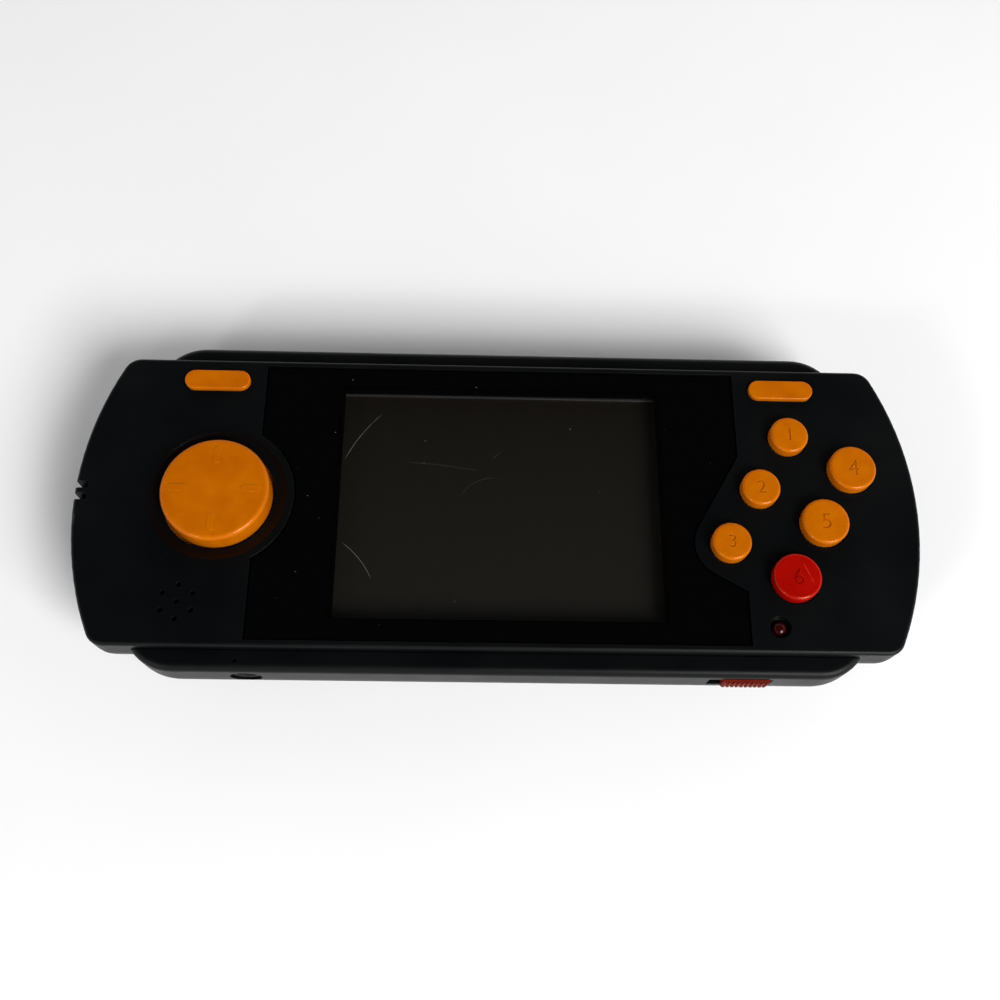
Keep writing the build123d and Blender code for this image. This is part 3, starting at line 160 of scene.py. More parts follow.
class Finish:
    """A material that is put together node by node, on the piece's own coordinates in millimetres."""

    def __init__(self, name):
        self.material = bpy.data.materials.new(name)
        self.material.use_nodes = True
        self.tree = self.material.node_tree
        self.tree.nodes.clear()
        self.output = self.add("ShaderNodeOutputMaterial")
        where = self.add("ShaderNodeTexCoord")
        scale = self.add("ShaderNodeMapping")
        scale.inputs["Scale"].default_value = (1 / MM, 1 / MM, 1 / MM)
        self.link(where.outputs["Object"], scale.inputs["Vector"])
        self.place = scale.outputs["Vector"]

    def add(self, kind, **settings):
        node = self.tree.nodes.new(kind)
        for key, value in settings.items():
            setattr(node, key, value)
        return node

    def link(self, source, target):
        self.tree.links.new(source, target)

    def feed(self, socket, value):
        """A socket takes a fixed value or another node's output."""
        if isinstance(value, bpy.types.NodeSocket):
            self.link(value, socket)
        else:
            socket.default_value = value

    def noise(self, size, detail=2.0, rough=0.5, stretch=None):
        """Noise whose lumps are about size millimetres across."""
        node = self.add("ShaderNodeTexNoise")
        node.inputs["Scale"].default_value = 1.0 / size
        node.inputs["Detail"].default_value = detail
        node.inputs["Roughness"].default_value = rough
        source = self.place
        if stretch:
            mapping = self.add("ShaderNodeMapping")
            mapping.inputs["Scale"].default_value = stretch
            self.link(source, mapping.inputs["Vector"])
            source = mapping.outputs["Vector"]
        self.link(source, node.inputs["Vector"])
        return node.outputs["Fac"]

    def cells(self, spacing):
        """Distance to the nearest of scattered points that are about spacing millimetres apart."""
        node = self.add("ShaderNodeTexVoronoi")
        node.inputs["Scale"].default_value = 1.0 / spacing
        self.link(self.place, node.inputs["Vector"])
        return node.outputs["Distance"]

    def place_parts(self):
        """The three coordinates of the place, under the names X, Y and Z."""
        split = self.add("ShaderNodeSeparateXYZ")
        self.link(self.place, split.inputs[0])
        return split.outputs

    def flattened(self):
        """The place with its height left out."""
        parts = self.place_parts()
        flat = self.add("ShaderNodeCombineXYZ")
        self.link(parts["X"], flat.inputs["X"])
        self.link(parts["Y"], flat.inputs["Y"])
        return flat.outputs[0]

    def distance(self, flat, point):
        """Distance from a point of the plan."""
        node = self.add("ShaderNodeVectorMath", operation="DISTANCE")
        self.link(flat, node.inputs[0])
        node.inputs[1].default_value = (*point, 0.0)
        return node.outputs["Value"]

    def ramp(self, source, low, high, start=NOISE_LOW, end=NOISE_HIGH):
        """Colour that goes from low to high while the source goes from start to end."""
        node = self.add("ShaderNodeValToRGB")
        for element, position, colour in zip(node.color_ramp.elements, (start, end), (low, high)):
            element.position = position
            element.color = colour
        self.link(source, node.inputs[0])
        return node.outputs["Color"]

    def map_range(self, source, start, end, low=0.0, high=1.0):
        """Value that goes from low to high while the source goes from start to end."""
        node = self.add("ShaderNodeMapRange")
        self.link(source, node.inputs["Value"])
        for socket, value in (("From Min", start), ("From Max", end), ("To Min", low), ("To Max", high)):
            node.inputs[socket].default_value = value
        return node.outputs["Result"]

    def math(self, operation, first, second=0.0):
        node = self.add("ShaderNodeMath", operation=operation)
        self.feed(node.inputs[0], first)
        self.feed(node.inputs[1], second)
        return node.outputs[0]

    def mix(self, share, first, second):
        """Mix of two colours, which go into the node's colour sockets A and B."""
        node = self.add("ShaderNodeMix", data_type="RGBA")
        self.feed(node.inputs[0], share)
        self.feed(node.inputs[6], first)
        self.feed(node.inputs[7], second)
        return node.outputs[2]

    def mix_surfaces(self, share, first, second):
        """Mix of two shader nodes, itself a shader node."""
        node = self.add("ShaderNodeMixShader")
        self.link(share, node.inputs[0])
        self.link(first.outputs[0], node.inputs[1])
        self.link(second.outputs[0], node.inputs[2])
        return node

    def dust(self, spacing, speck, patch, thin_to_thick, most=1.0):
        """Mask of specks that fade between two distances from their middles, thicker in some patches."""
        specks = self.map_range(self.cells(spacing), *speck)
        patches = self.map_range(self.noise(patch), *thin_to_thick, high=most)
        return self.math("MULTIPLY", specks, patches)

    def bump(self, height, depth, strength, under=None):
        """Bump whose full height is depth millimetres."""
        node = self.add("ShaderNodeBump")
        node.inputs["Strength"].default_value = strength
        node.inputs["Distance"].default_value = depth * MM
        self.link(height, node.inputs["Height"])
        if under:
            self.link(under, node.inputs["Normal"])
        return node.outputs["Normal"]

    def softened(self, radius, samples=4):
        """Normal that rounds every sharp edge by radius millimetres, as a mould leaves it."""
        bevel = self.add("ShaderNodeBevel", samples=samples)
        bevel.inputs["Radius"].default_value = radius * MM
        return bevel.outputs["Normal"]

    def edges(self, radius):
        """Mask that is white along edges sharper than radius millimetres."""
        geometry = self.add("ShaderNodeNewGeometry")
        dot = self.add("ShaderNodeVectorMath", operation="DOT_PRODUCT")
        self.link(self.softened(radius, samples=6), dot.inputs[0])
        self.link(geometry.outputs["Normal"], dot.inputs[1])
        return self.map_range(dot.outputs["Value"], start=0.99, end=0.85)

    def plastic(self, colour, roughness, normal=None, specular=0.5, metallic=0.0, gloss=None):
        """Finishes the material as one principled surface."""
        shader = self.add("ShaderNodeBsdfPrincipled")
        self.feed(shader.inputs["Base Color"], colour)
        self.feed(shader.inputs["Roughness"], roughness)
        self.feed(shader.inputs["Specular IOR Level"], specular)
        self.feed(shader.inputs["Metallic"], metallic)
        self.feed(shader.inputs["Specular Tint"], gloss or grey(1.0))
        if normal:
            self.link(normal, shader.inputs["Normal"])
        self.link(shader.outputs[0], self.output.inputs[0])
        return self.material


def case_plastic():
    """Black moulded shells: fine satin grain, handled patches, scattered dust."""
    finish = Finish("black case plastic")
    patches = finish.noise(size=14.0, detail=3.0)
    grain = finish.noise(size=0.22, rough=0.6)
    base = finish.ramp(patches, srgb(3, 4, 5), srgb(5, 6, 7))
    dust = finish.dust(spacing=2.6, speck=(0.030, 0.018), patch=5.0, thin_to_thick=(0.50, 0.66))
    base = finish.mix(dust, base, srgb(60, 60, 58))
    roughness = finish.map_range(patches, NOISE_LOW, NOISE_HIGH, low=0.36, high=0.45)
    normal = finish.bump(grain, depth=0.012, strength=0.5, under=finish.softened(radius=0.15))
    return finish.plastic(base, roughness, normal, specular=0.13)


def tinted_plastic(name, low, high, pale, scratches=()):
    """Glossy coloured plastic with faint mottling, edges worn pale and hair scratches."""
    finish = Finish(name)
    base = finish.ramp(finish.noise(size=3.5, detail=3.0), low, high)
    patches = finish.map_range(finish.noise(size=1.2), start=0.35, end=0.65)
    wear = finish.math("MULTIPLY", finish.edges(radius=0.3), patches)
    base = finish.mix(finish.math("MULTIPLY", wear, EDGE_WEAR), base, pale)
    for points, width, strength in scratches:
        base = finish.mix(scratch(finish, finish.flattened(), points, width, strength), base, pale)
    roughness = finish.map_range(finish.noise(size=1.6), NOISE_LOW, NOISE_HIGH, low=0.17, high=0.25)
    ripples = finish.bump(finish.noise(size=0.9), depth=0.004, strength=0.4)
    return finish.plastic(base, roughness, ripples, specular=0.34, gloss=srgb(255, 205, 160))


def plain_plastic(name, low, high, roughness=0.5, size=4.0, specular=0.5):
    """Plastic, rubber or foam of one colour, in patches about size millimetres across."""
    finish = Finish(name)
    base = finish.ramp(finish.noise(size, detail=3.0), low, high)
    grain = finish.bump(finish.noise(size=0.3), depth=0.01, strength=0.5)
    return finish.plastic(base, roughness, grain, specular=specular)


def plain_metal(name, low, high, roughness=0.35):
    """Metal with a rolled or drawn grain."""
    finish = Finish(name)
    grain = finish.noise(size=1.2, detail=3.0, stretch=(1, 12, 1))
    base = finish.ramp(grain, low, high)
    return finish.plastic(base, roughness, finish.bump(grain, depth=0.004, strength=0.5), metallic=1.0)


def display_glass():
    """Dark grey display that is off, with a painted sheen that makes it a little paler towards the near
    edge.
    """
    finish = Finish("display glass")
    nearness = finish.map_range(finish.place_parts()["Y"], start=DISPLAY_REACH, end=-DISPLAY_REACH)
    # Painted sheen: the colour grows paler from the far edge to the near edge
    base = finish.ramp(nearness, srgb(21, 17, 12), srgb(28, 27, 23), start=0.0, end=1.0)
    return finish.plastic(base, roughness=0.35, specular=0.3)


def black_film():
    """Adhesive frame behind the lens."""
    finish = Finish("black adhesive film")
    base = finish.ramp(finish.noise(size=6.0), srgb(1, 1, 1), srgb(2, 2, 2))
    return finish.plastic(base, roughness=0.8, specular=0.0)


# Scratches

# Each scratch's three points, how far it fades to each side of its line, and its strength
LENS_SCRATCHES = (
    (((-28.2, 7.3), (-25.4, 12.4), (-21.7, 16.8)), 0.06, 0.42),
    (((-27.67, -8.36), (-24.55, -11.32), (-22.19, -15.16)), 0.06, 0.42),
    (((-17.6, 7.2), (-10.4, 6.7), (-8.0, 6.4)), 0.06, 0.10),
    (((-6.9, 1.2), (-4.2, 3.6), (-0.9, 4.4)), 0.06, 0.10),
    (((-1.5, 8.1), (-0.7, 8.8), (0.1, 9.6)), 0.06, 0.12),
)
RED_SCRATCHES = (
    (((52.75, -11.5), (53.6, -13.4), (54.4, -15.3)), 0.09, 0.6),
    (((51.9, -12.6), (52.3, -13.4), (52.6, -14.4)), 0.06, 0.25),
)

# The shares of its width and of its length, from the middle out, where a scratch is whole
WHOLE_ACROSS = 0.3
WHOLE_ALONG = 0.7


def circle_through(first, second, third):
    """Centre and radius of the circle through three points."""
    (ax, ay), (bx, by), (cx, cy) = first, second, third
    turn = 2 * (ax * (by - cy) + bx * (cy - ay) + cx * (ay - by))
    a, b, c = ax**2 + ay**2, bx**2 + by**2, cx**2 + cy**2
    x = (a * (by - cy) + b * (cy - ay) + c * (ay - by)) / turn
    y = (a * (cx - bx) + b * (ax - cx) + c * (bx - ax)) / turn
    return (x, y), math.hypot(ax - x, ay - y)


def scratch(finish, flat, points, width, strength):
    """Mask of one curved hair scratch through three points, fading at its ends."""
    centre, radius = circle_through(*points)
    middle = points[1]
    reach = max(math.dist(middle, points[0]), math.dist(middle, points[2]))
    off = finish.math("ABSOLUTE", finish.math("SUBTRACT", finish.distance(flat, centre), radius))
    across = finish.map_range(off, start=width, end=width * WHOLE_ACROSS)
    along = finish.map_range(finish.distance(flat, middle), start=reach, end=reach * WHOLE_ALONG)
    broken = finish.map_range(finish.noise(size=0.9), start=0.32, end=0.5, low=0.35)
    line = finish.math("MULTIPLY", across, along)
    return finish.math("MULTIPLY", line, finish.math("MULTIPLY", broken, strength))


# Lens

# How far the clear window reaches to each side of the display's middle, sideways and far and near
WINDOW_REACH = (29.5, 22.4)
LENS_ROUGHNESS = 0.05
LENS_IOR = 1.49


def lens_window(finish, front):
    """Clear plastic whose front face reflects."""
    clear = finish.add("ShaderNodeBsdfTransparent")
    clear.inputs["Color"].default_value = grey(0.95)
    gloss = finish.add("ShaderNodeBsdfGlossy")
    gloss.inputs["Color"].default_value = grey(0.6)
    gloss.inputs["Roughness"].default_value = LENS_ROUGHNESS
    fresnel = finish.add("ShaderNodeFresnel")
    fresnel.inputs["IOR"].default_value = LENS_IOR
    return finish.mix_surfaces(finish.math("MULTIPLY", fresnel.outputs[0], front), clear, gloss)


def lens_border(finish):
    """The same gloss on black."""
    black = finish.add("ShaderNodeBsdfPrincipled")
    black.inputs["Base Color"].default_value = srgb(1, 1, 1)
    black.inputs["Roughness"].default_value = LENS_ROUGHNESS
    black.inputs["Specular IOR Level"].default_value = 0.3
    return black


def border_mask(finish):
    """Mask of all that lies past the window."""
    parts = finish.place_parts()
    past = [finish.math("GREATER_THAN", finish.math("ABSOLUTE", parts[axis]), reach)
            for axis, reach in zip("XY", WINDOW_REACH)]
    return finish.math("MAXIMUM", *past)


def lens_marks(finish, front):
    """Mask of the scratches and the dust on the lens's front face."""
    flat = finish.flattened()
    marks = finish.dust(spacing=2.7, speck=(0.040, 0.022), patch=7.0, thin_to_thick=(0.44, 0.56), most=0.7)
    for points, width, strength in LENS_SCRATCHES:
        marks = finish.math("MAXIMUM", marks, scratch(finish, flat, points, width, strength))
    return finish.math("MULTIPLY", marks, front)


def lens_plastic():
    """Glossy panel with hair scratches and dust: clear over the display, black round it."""
    finish = Finish("clear lens plastic")
    facing = finish.add("ShaderNodeNewGeometry")
    front = finish.math("SUBTRACT", 1.0, facing.outputs["Backfacing"])
    panel = finish.mix_surfaces(border_mask(finish), lens_window(finish, front), lens_border(finish))
    pale = finish.add("ShaderNodeBsdfDiffuse")
    pale.inputs["Color"].default_value = srgb(150, 140, 124)
    marked = finish.mix_surfaces(lens_marks(finish, front), panel, pale)
    finish.link(marked.outputs[0], finish.output.inputs[0])
    return finish.material


# Finishes of the carried-over pieces

# After a name come the two colours that it varies between, and where they aren't the usual ones,
# its roughness and the size of its patches
finishes = {
    "case_plastic": case_plastic(),
    "lens_plastic": lens_plastic(),
    "display_glass": display_glass(),
    "tape": black_film(),
    "foam": plain_plastic("black foam", srgb(20, 20, 20), srgb(34, 34, 34), 0.9, 0.6),
    "light_plate": plain_plastic("milky light plate", srgb(225, 228, 224), srgb(236, 238, 234), 0.4),
    "sheet_steel": plain_metal("plated sheet steel", srgb(176, 177, 180), srgb(200, 200, 202)),
    "flex_film": plain_plastic("amber flexible film", srgb(160, 96, 22), srgb(184, 112, 30), 0.3),
    "board": plain_plastic("green circuit board", srgb(8, 70, 38), srgb(14, 84, 46), 0.4),
    "component_black": plain_plastic("black component plastic", srgb(14, 14, 15), srgb(22, 22, 23), 0.55),
    "component_cream": plain_plastic("cream component plastic", srgb(206, 196, 168), srgb(216, 206, 180)),
    "can_metal": plain_metal("drawn metal cans", srgb(188, 188, 190), srgb(206, 206, 208), 0.3),
    "orange_plastic": tinted_plastic("orange button plastic", srgb(178, 89, 0), srgb(192, 101, 1),
                                     pale=srgb(226, 150, 44)),
    "red_plastic": tinted_plastic("red button plastic", srgb(150, 4, 1), srgb(162, 8, 2),
                                  pale=srgb(208, 60, 34), scratches=RED_SCRATCHES),
    "knob_plastic": plain_plastic("dull red knob plastic", srgb(102, 25, 13), srgb(116, 33, 18),
                                  0.55, 1.5, specular=0.06),
    "wheel_plastic": plain_plastic("black wheel plastic", srgb(6, 7, 8), srgb(10, 11, 12),
                                   0.45, specular=0.3),
    "nylon": plain_plastic("natural nylon", srgb(214, 210, 196), srgb(224, 220, 208), 0.45),
    "pad_rubber": plain_plastic("grey silicone rubber", srgb(120, 120, 118), srgb(134, 134, 132), 0.65),
    "led_plastic": plain_plastic("smoky red light", srgb(40, 2, 4), srgb(50, 4, 6),
                                 0.12, 2.0, specular=0.2),
    "wire": plain_plastic("red wire insulation", srgb(110, 12, 9), srgb(124, 18, 13)),
    "battery_wrap": plain_plastic("battery shrink film", srgb(36, 46, 66), srgb(44, 54, 76), 0.3, 8.0),
    "contact_brass": plain_metal("gold-plated spring", srgb(214, 176, 92), srgb(228, 190, 108), 0.25),
    "screw_steel": plain_metal("blackened screw steel", srgb(60, 60, 62), srgb(78, 78, 80), 0.4),
}

# Darker copies of the button plastics, as painted shade inside the sunk figures, under the slot that the
# button has
shaded_sunk_finishes = {
    "orange_plastic": tinted_plastic("orange plastic with painted shade in sunk figures", srgb(172, 84, 0), srgb(182, 92, 0),
                                     pale=srgb(190, 100, 6)),
    "red_plastic": tinted_plastic("red plastic with painted shade in sunk figures", srgb(142, 4, 1), srgb(152, 7, 1),
                                  pale=srgb(160, 14, 8)),
}
# A darker colour that the cut faces of the screws' cross slots take
dark_slot_finish = plain_plastic("dark faces of the screws' slots", srgb(12, 12, 12), srgb(20, 19, 18), 0.8, 1.0)


def dress(piece, material):
    piece.data.materials.clear()
    piece.data.materials.append(material)
    return piece


def dress_nodes():
    """Every carried-over piece gets the finish of its slot."""
    for subpart in frame["record"]["subparts"]:
        dress(nodes[subpart["node"]], finishes[subpart["material_slot"]])


# Making pieces

SMOOTH_BELOW = 35
MERGE_WITHIN = 0.001


def choose_none():
    if bpy.context.object and bpy.context.object.mode != "OBJECT":
        bpy.ops.object.mode_set(mode="OBJECT")
    bpy.ops.object.select_all(action="DESELECT")


def choose(*pieces):
    """Makes these pieces the only ones that the next operator acts on."""
    choose_none()
    for piece in pieces:
        piece.select_set(True)
    bpy.context.view_layer.objects.active = pieces[0]


def box_in_mm(name):
    """Lowest and highest corner of a carried-over piece."""
    return [Vector(corner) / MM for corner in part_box(name)]


def plan_middle(name):
    """Middle of a carried-over piece as seen from above, in metres."""
    low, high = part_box(name)
    return (low[0] + high[0]) / 2, (low[1] + high[1]) / 2


def settle(piece):
    """Puts a piece's place, turn and size into its mesh."""
    choose(piece)
    bpy.ops.object.transform_apply(location=True, rotation=True, scale=True)
    return piece


def hand_over(piece, name, body, slot, *replaced):
    """Names a finished piece, smooths its shading, ties it to its body and hides the plainer pieces that it
    stands for; the slot is not used.
    """
    piece.name = name
    choose(piece)
    if piece.data.has_custom_normals:
        bpy.ops.mesh.customdata_custom_splitnormals_clear()
    bpy.ops.object.shade_smooth_by_angle(angle=math.radians(SMOOTH_BELOW))
    level = piece.modifiers.new("level faces", "WEIGHTED_NORMAL")
    level.keep_sharp = True
    bpy.ops.object.modifier_apply(modifier=level.name)
    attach(piece, body)
    if replaced:
        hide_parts(*replaced)


def merge_doubles(piece):
    """Merges a piece's doubled points and leaves it in edit mode with all of it selected."""
    choose(piece)
    bpy.ops.object.mode_set(mode="EDIT")
    bpy.ops.mesh.select_all(action="SELECT")
    bpy.ops.mesh.remove_doubles(threshold=MERGE_WITHIN * MM)


def merged_copy(name):
    """A free copy of a carried-over piece with its doubled points merged."""
    piece = nodes[name].copy()
    piece.data = nodes[name].data.copy()
    for key in [key for key in piece.keys() if key.startswith("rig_")]:
        del piece[key]
    piece.parent = None
    bpy.context.scene.collection.objects.link(piece)
    merge_doubles(piece)
    bpy.ops.object.mode_set(mode="OBJECT")
    return piece


def carve(piece, cutter):
    """Cuts the cutter out of the piece; the cut faces keep the cutter's material."""
    saw = piece.modifiers.new("carve", "BOOLEAN")
    saw.operation = "DIFFERENCE"
    saw.solver = "EXACT"
    saw.material_mode = "TRANSFER"
    saw.object = cutter
    choose(piece)
    bpy.ops.object.modifier_apply(modifier=saw.name)
    bpy.data.objects.remove(cutter, do_unlink=True)
    return piece


def bar(name, low, high, material, bevel=0.0):
    """Bar between two corners, with its edges bevelled."""
    choose_none()
    middle = [(a + b) / 2 * MM for a, b in zip(low, high)]
    bpy.ops.mesh.primitive_cube_add(size=1.0, location=middle)
    piece = bpy.context.object
    piece.name = name
    piece.scale = [(b - a) * MM for a, b in zip(low, high)]
    settle(piece)
    if bevel:
        bpy.ops.object.mode_set(mode="EDIT")
        bpy.ops.mesh.select_all(action="SELECT")
        bpy.ops.mesh.bevel(offset=bevel * MM, segments=2, affect="EDGES")
        bpy.ops.object.mode_set(mode="OBJECT")
    return dress(piece, material)


def joined(pieces):
    choose(*pieces)
    bpy.ops.object.join()
    return bpy.context.object


def spread(count, pitch):
    """Places of a row of pieces on both sides of its middle."""
    return [(number - (count - 1) / 2) * pitch for number in range(count)]


# Sunk figures in the round buttons

FIGURE_DEPTH = 0.12
SMALL_FIGURE = 2.4
LARGE_FIGURE = 2.9

# Each face button's body, figure and height of the figure
FACE_BUTTONS = (
    ("small_upper", "1", SMALL_FIGURE),
    ("small_middle", "2", SMALL_FIGURE),
    ("small_lower", "3", SMALL_FIGURE),
    ("large_upper", "4", LARGE_FIGURE),
    ("large_middle", "5", LARGE_FIGURE),
    ("red", "6", LARGE_FIGURE),
)


def figure_cutter(figure, height, at, material):
    """A figure as a solid, middled on a place of a cap's top."""
    choose_none()
    bpy.ops.object.text_add()
    text = bpy.context.object
    text.data.body = figure
    text.data.size = height * MM
    text.data.extrude = FIGURE_DEPTH * MM
    text.data.resolution_u = 6
    bpy.ops.object.convert(target="MESH")
    text = bpy.context.object
    corners = [Vector(corner) for corner in text.bound_box]
    low = Vector([min(corner[axis] for corner in corners) for axis in range(3)])
    high = Vector([max(corner[axis] for corner in corners) for axis in range(3)])
    grow = height * MM / (high.y - low.y)
    middle = (low + high) / 2
    text.scale = (grow, grow, 1.0)
    text.location = Vector(at) - Vector((middle.x * grow, middle.y * grow, middle.z))
    merge_doubles(settle(text))
    bpy.ops.mesh.normals_make_consistent(inside=False)
    bpy.ops.object.mode_set(mode="OBJECT")
    return dress(text, material)


def number_the_buttons():
    for body, figure, height in FACE_BUTTONS:
        name = "button_" + body
        slot = "red_plastic" if body == "red" else "orange_plastic"
        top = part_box(name)[1][2]
        cap = dress(merged_copy(name), finishes[slot])
        # The figure's cut faces take the darker copy, which is painted shade in the recess
        cutter = figure_cutter(figure, height, (*plan_middle(name), top), shaded_sunk_finishes[slot])
        hand_over(carve(cap, cutter), "numbered_" + name, body, slot, name)


# Screws with a cross in their heads

CROSS_WIDTH = 0.55
CROSS_LENGTH = 2.1
CROSS_DEPTH = 0.7
CROSS_NARROWING = 0.55
HEAD_FLATNESS = 0.01
HEAD_SPAN = 4.0

# The screws' nodes and the names of the pieces that stand for them
SCREWS = {
    "case_screws": "cross_headed_case_screws",
    "battery_door_screw": "cross_headed_door_screw",
}


def head_places(piece):
    """Middles of the flat undersides of the screws' heads."""
    low = min(vertex.co.z for vertex in piece.data.vertices)
    heads = []
    for vertex in piece.data.vertices:
        if vertex.co.z - low > HEAD_FLATNESS * MM:
            continue
        for head in heads:
            if math.dist(head[0][:2], vertex.co[:2]) < HEAD_SPAN * MM:
                head.append(vertex.co.copy())
                break
        else:
            heads.append([vertex.co.copy()])
    middles = []
    for head in heads:
        xs = [point.x for point in head]
        ys = [point.y for point in head]
        middles.append(((min(xs) + max(xs)) / 2 / MM, (min(ys) + max(ys)) / 2 / MM, low / MM))
    return middles


def cross_cutter(at):
    """Two crossed wedges that narrow towards the screw's shank."""
    x, y, z = at
    arms = []
    for long_x, long_y in ((CROSS_LENGTH, CROSS_WIDTH), (CROSS_WIDTH, CROSS_LENGTH)):
        arm = bar("cross", (x - long_x / 2, y - long_y / 2, z - CROSS_DEPTH),
                  (x + long_x / 2, y + long_y / 2, z + CROSS_DEPTH), dark_slot_finish)
        choose(arm)
        for face in arm.data.polygons:
            face.select = face.normal.z > 0.9
        for edge in arm.data.edges:
            edge.select = False
        bpy.ops.object.mode_set(mode="EDIT")
        bpy.ops.mesh.select_mode(type="FACE")
        bpy.ops.transform.resize(value=(CROSS_NARROWING, CROSS_NARROWING, 1.0),
                                 center_override=(x * MM, y * MM, z * MM))
        bpy.ops.object.mode_set(mode="OBJECT")
        arms.append(arm)
    return arms


def slot_the_screws():
    for name, title in SCREWS.items():
        screws = dress(merged_copy(name), finishes["screw_steel"])
        for at in head_places(screws):
            for arm in cross_cutter(at):
                screws = carve(screws, arm)
        hand_over(screws, title, "case", "screw_steel", name)


# Contacts inside the sockets, whose depths are measured from the sockets' mouths

STRIP_COUNT = 5
STRIP_PITCH = 0.65
STRIP_WIDTH = 0.28
STRIP_DEPTHS = (4.2, 0.75)
STRIP_BEVEL = 0.02

# The tongue's underside below the socket's middle, and the strip's two faces below that
TONGUE_DROP = 0.3
STRIP_DROPS = (0.10, 0.01)

SPRING_COUNT = 9
SPRING_PITCH = 2.5
SPRING_WIDTH = 0.9
SPRING_THICKNESS = 0.12
SPRING_DEPTHS = (11.0, 4.0)
SPRING_BEVEL = 0.03
SPRING_TIP = 0.5
SPRING_RISE = 0.9
CARD_FLOOR = 0.32

SLEEVE_RADIUS = 1.78
SLEEVE_LENGTH = 1.6
SLEEVE_WALL = 0.16
SLEEVE_DEPTH = 0.5


def charging_contacts():
    """Gilt strips under the tongue of the charging socket."""
    low, high = box_in_mm("usb_socket")
    tongue = (low.z + high.z) / 2 - TONGUE_DROP
    strips = []
    for step in spread(STRIP_COUNT, STRIP_PITCH):
        x = (low.x + high.x) / 2 + step
        inner = (x - STRIP_WIDTH / 2, high.y - STRIP_DEPTHS[0], tongue - STRIP_DROPS[0])
        outer = (x + STRIP_WIDTH / 2, high.y - STRIP_DEPTHS[1], tongue - STRIP_DROPS[1])
        strips.append(bar("strip", inner, outer, finishes["contact_brass"], STRIP_BEVEL))
    hand_over(joined(strips), "charging_socket_contacts", "case", "contact_brass")


def card_contacts():
    """Gilt springs that slope up from the floor of the card socket to their inner ends."""
    low, high = box_in_mm("card_socket")
    floor = low.z + CARD_FLOOR
    springs = []
    for step in spread(SPRING_COUNT, SPRING_PITCH):
        x = (low.x + high.x) / 2 + step
        inner = (x - SPRING_WIDTH / 2, high.y - SPRING_DEPTHS[0], floor)
        outer = (x + SPRING_WIDTH / 2, high.y - SPRING_DEPTHS[1], floor + SPRING_THICKNESS)
        spring = bar("spring", inner, outer, finishes["contact_brass"], SPRING_BEVEL)
        choose(spring)
        for vertex in spring.data.vertices:
            vertex.select = vertex.co.y / MM < inner[1] + SPRING_TIP
        for part in (*spring.data.edges, *spring.data.polygons):
            part.select = all(spring.data.vertices[index].select for index in part.vertices)
        bpy.ops.object.mode_set(mode="EDIT")
        bpy.ops.transform.translate(value=(0, 0, SPRING_RISE * MM))
        bpy.ops.object.mode_set(mode="OBJECT")
        springs.append(spring)
    hand_over(joined(springs), "card_socket_springs", "case", "contact_brass")


def jack_sleeve(name, title, inwards):
    """Gilt sleeve just inside the mouth of a round socket."""
    low, high = box_in_mm(name)
    mouth = low.y if inwards > 0 else high.y
    depth = SLEEVE_DEPTH + SLEEVE_LENGTH / 2
    middle = ((low.x + high.x) / 2, mouth + inwards * depth, (low.z + high.z) / 2)
    choose_none()
    bpy.ops.mesh.primitive_cylinder_add(
        vertices=48, radius=SLEEVE_RADIUS * MM, depth=SLEEVE_LENGTH * MM, end_fill_type="NOTHING",
        location=[value * MM for value in middle], rotation=(math.radians(90), 0, 0))
    sleeve = settle(bpy.context.object)
    wall = sleeve.modifiers.new("wall", "SOLIDIFY")
    wall.thickness = SLEEVE_WALL * MM
    wall.offset = -1.0
    bpy.ops.object.modifier_apply(modifier=wall.name)
    dress(sleeve, finishes["contact_brass"])
    hand_over(sleeve, title, "case", "contact_brass")


# Rubber domes parted from their sheets

SHEET_TOP = 12.8
DOME_BREAK = 0.02
CUT_MARGIN = 1.0


def press_over(middle):
    """Joint of the face button whose middle lies nearest."""
    def gap(body):
        return math.dist(plan_middle("button_" + body), (middle.x, middle.y))
    return min((row[0] for row in FACE_BUTTONS), key=gap) + "_press"


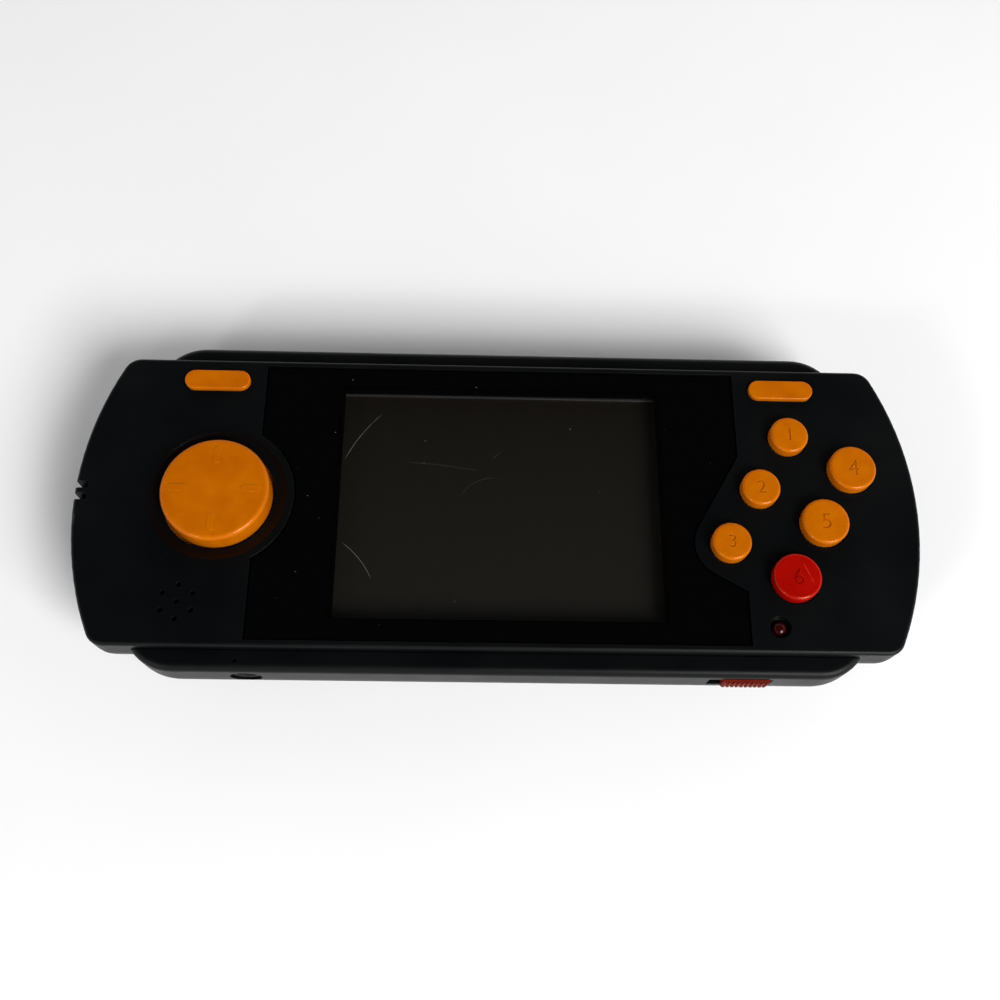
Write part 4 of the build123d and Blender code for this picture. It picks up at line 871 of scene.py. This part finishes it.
def tilt_over(middle):
    """Joint of the direction disc that presses on this side of its middle."""
    disc_x, disc_y = plan_middle("dpad_disc")
    sideways = abs(middle.x - disc_x) > abs(middle.y - disc_y)
    return "disc_tilt_left_right" if sideways else "disc_tilt_far_near"


def free_the_domes(name, joint_over):
    """Parts a rubber sheet from its domes, and looks up the joint over each dome, which is then not used.
    """
    low, high = box_in_mm(name)
    lowest = [value - CUT_MARGIN for value in low]
    highest = [value + CUT_MARGIN for value in high]
    rubber = finishes["pad_rubber"]
    sheet = merged_copy(name)
    domes = merged_copy(name)
    above = bar("above", (*lowest[:2], SHEET_TOP), highest, rubber)
    hand_over(carve(sheet, above), name + "_sheet", "case", "pad_rubber", name)
    below = bar("below", lowest, (*highest[:2], SHEET_TOP + DOME_BREAK), rubber)
    choose(carve(domes, below))
    bpy.ops.mesh.separate(type="LOOSE")
    for number, dome in enumerate(list(bpy.context.selected_objects), 1):
        middle = sum((vertex.co for vertex in dome.data.vertices), Vector()) / len(dome.data.vertices)
        hand_over(dome, f"{name}_dome_{number}", "case", "pad_rubber")
        joint_over(middle)
        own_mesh(dome)


# Floor

FLOOR_SIZE = 6000.0


def lay_floor():
    bpy.ops.mesh.primitive_plane_add(size=FLOOR_SIZE * MM, location=(0, 0, 0))
    floor = bpy.context.object
    floor.name = "floor"
    finish = Finish("pale table top")
    base = finish.ramp(finish.noise(size=60.0), grey(0.93), grey(0.95))
    dress(floor, finish.plastic(base, roughness=0.8, specular=0.1))


point_camera()
light_the_room()
lay_floor()
dress_nodes()
number_the_buttons()
slot_the_screws()
charging_contacts()
card_contacts()
jack_sleeve("headphone_jack", "headphone_socket_sleeve", inwards=1)
jack_sleeve("av_jack", "picture_socket_sleeve", inwards=-1)
free_the_domes("action_pad", press_over)
free_the_domes("dpad_pad", tilt_over)
free_the_domes("left_menu_pad", lambda middle: "left_menu_press")
free_the_domes("right_menu_pad", lambda middle: "right_menu_press")
bpy.context.scene.view_settings.view_transform = "Standard"
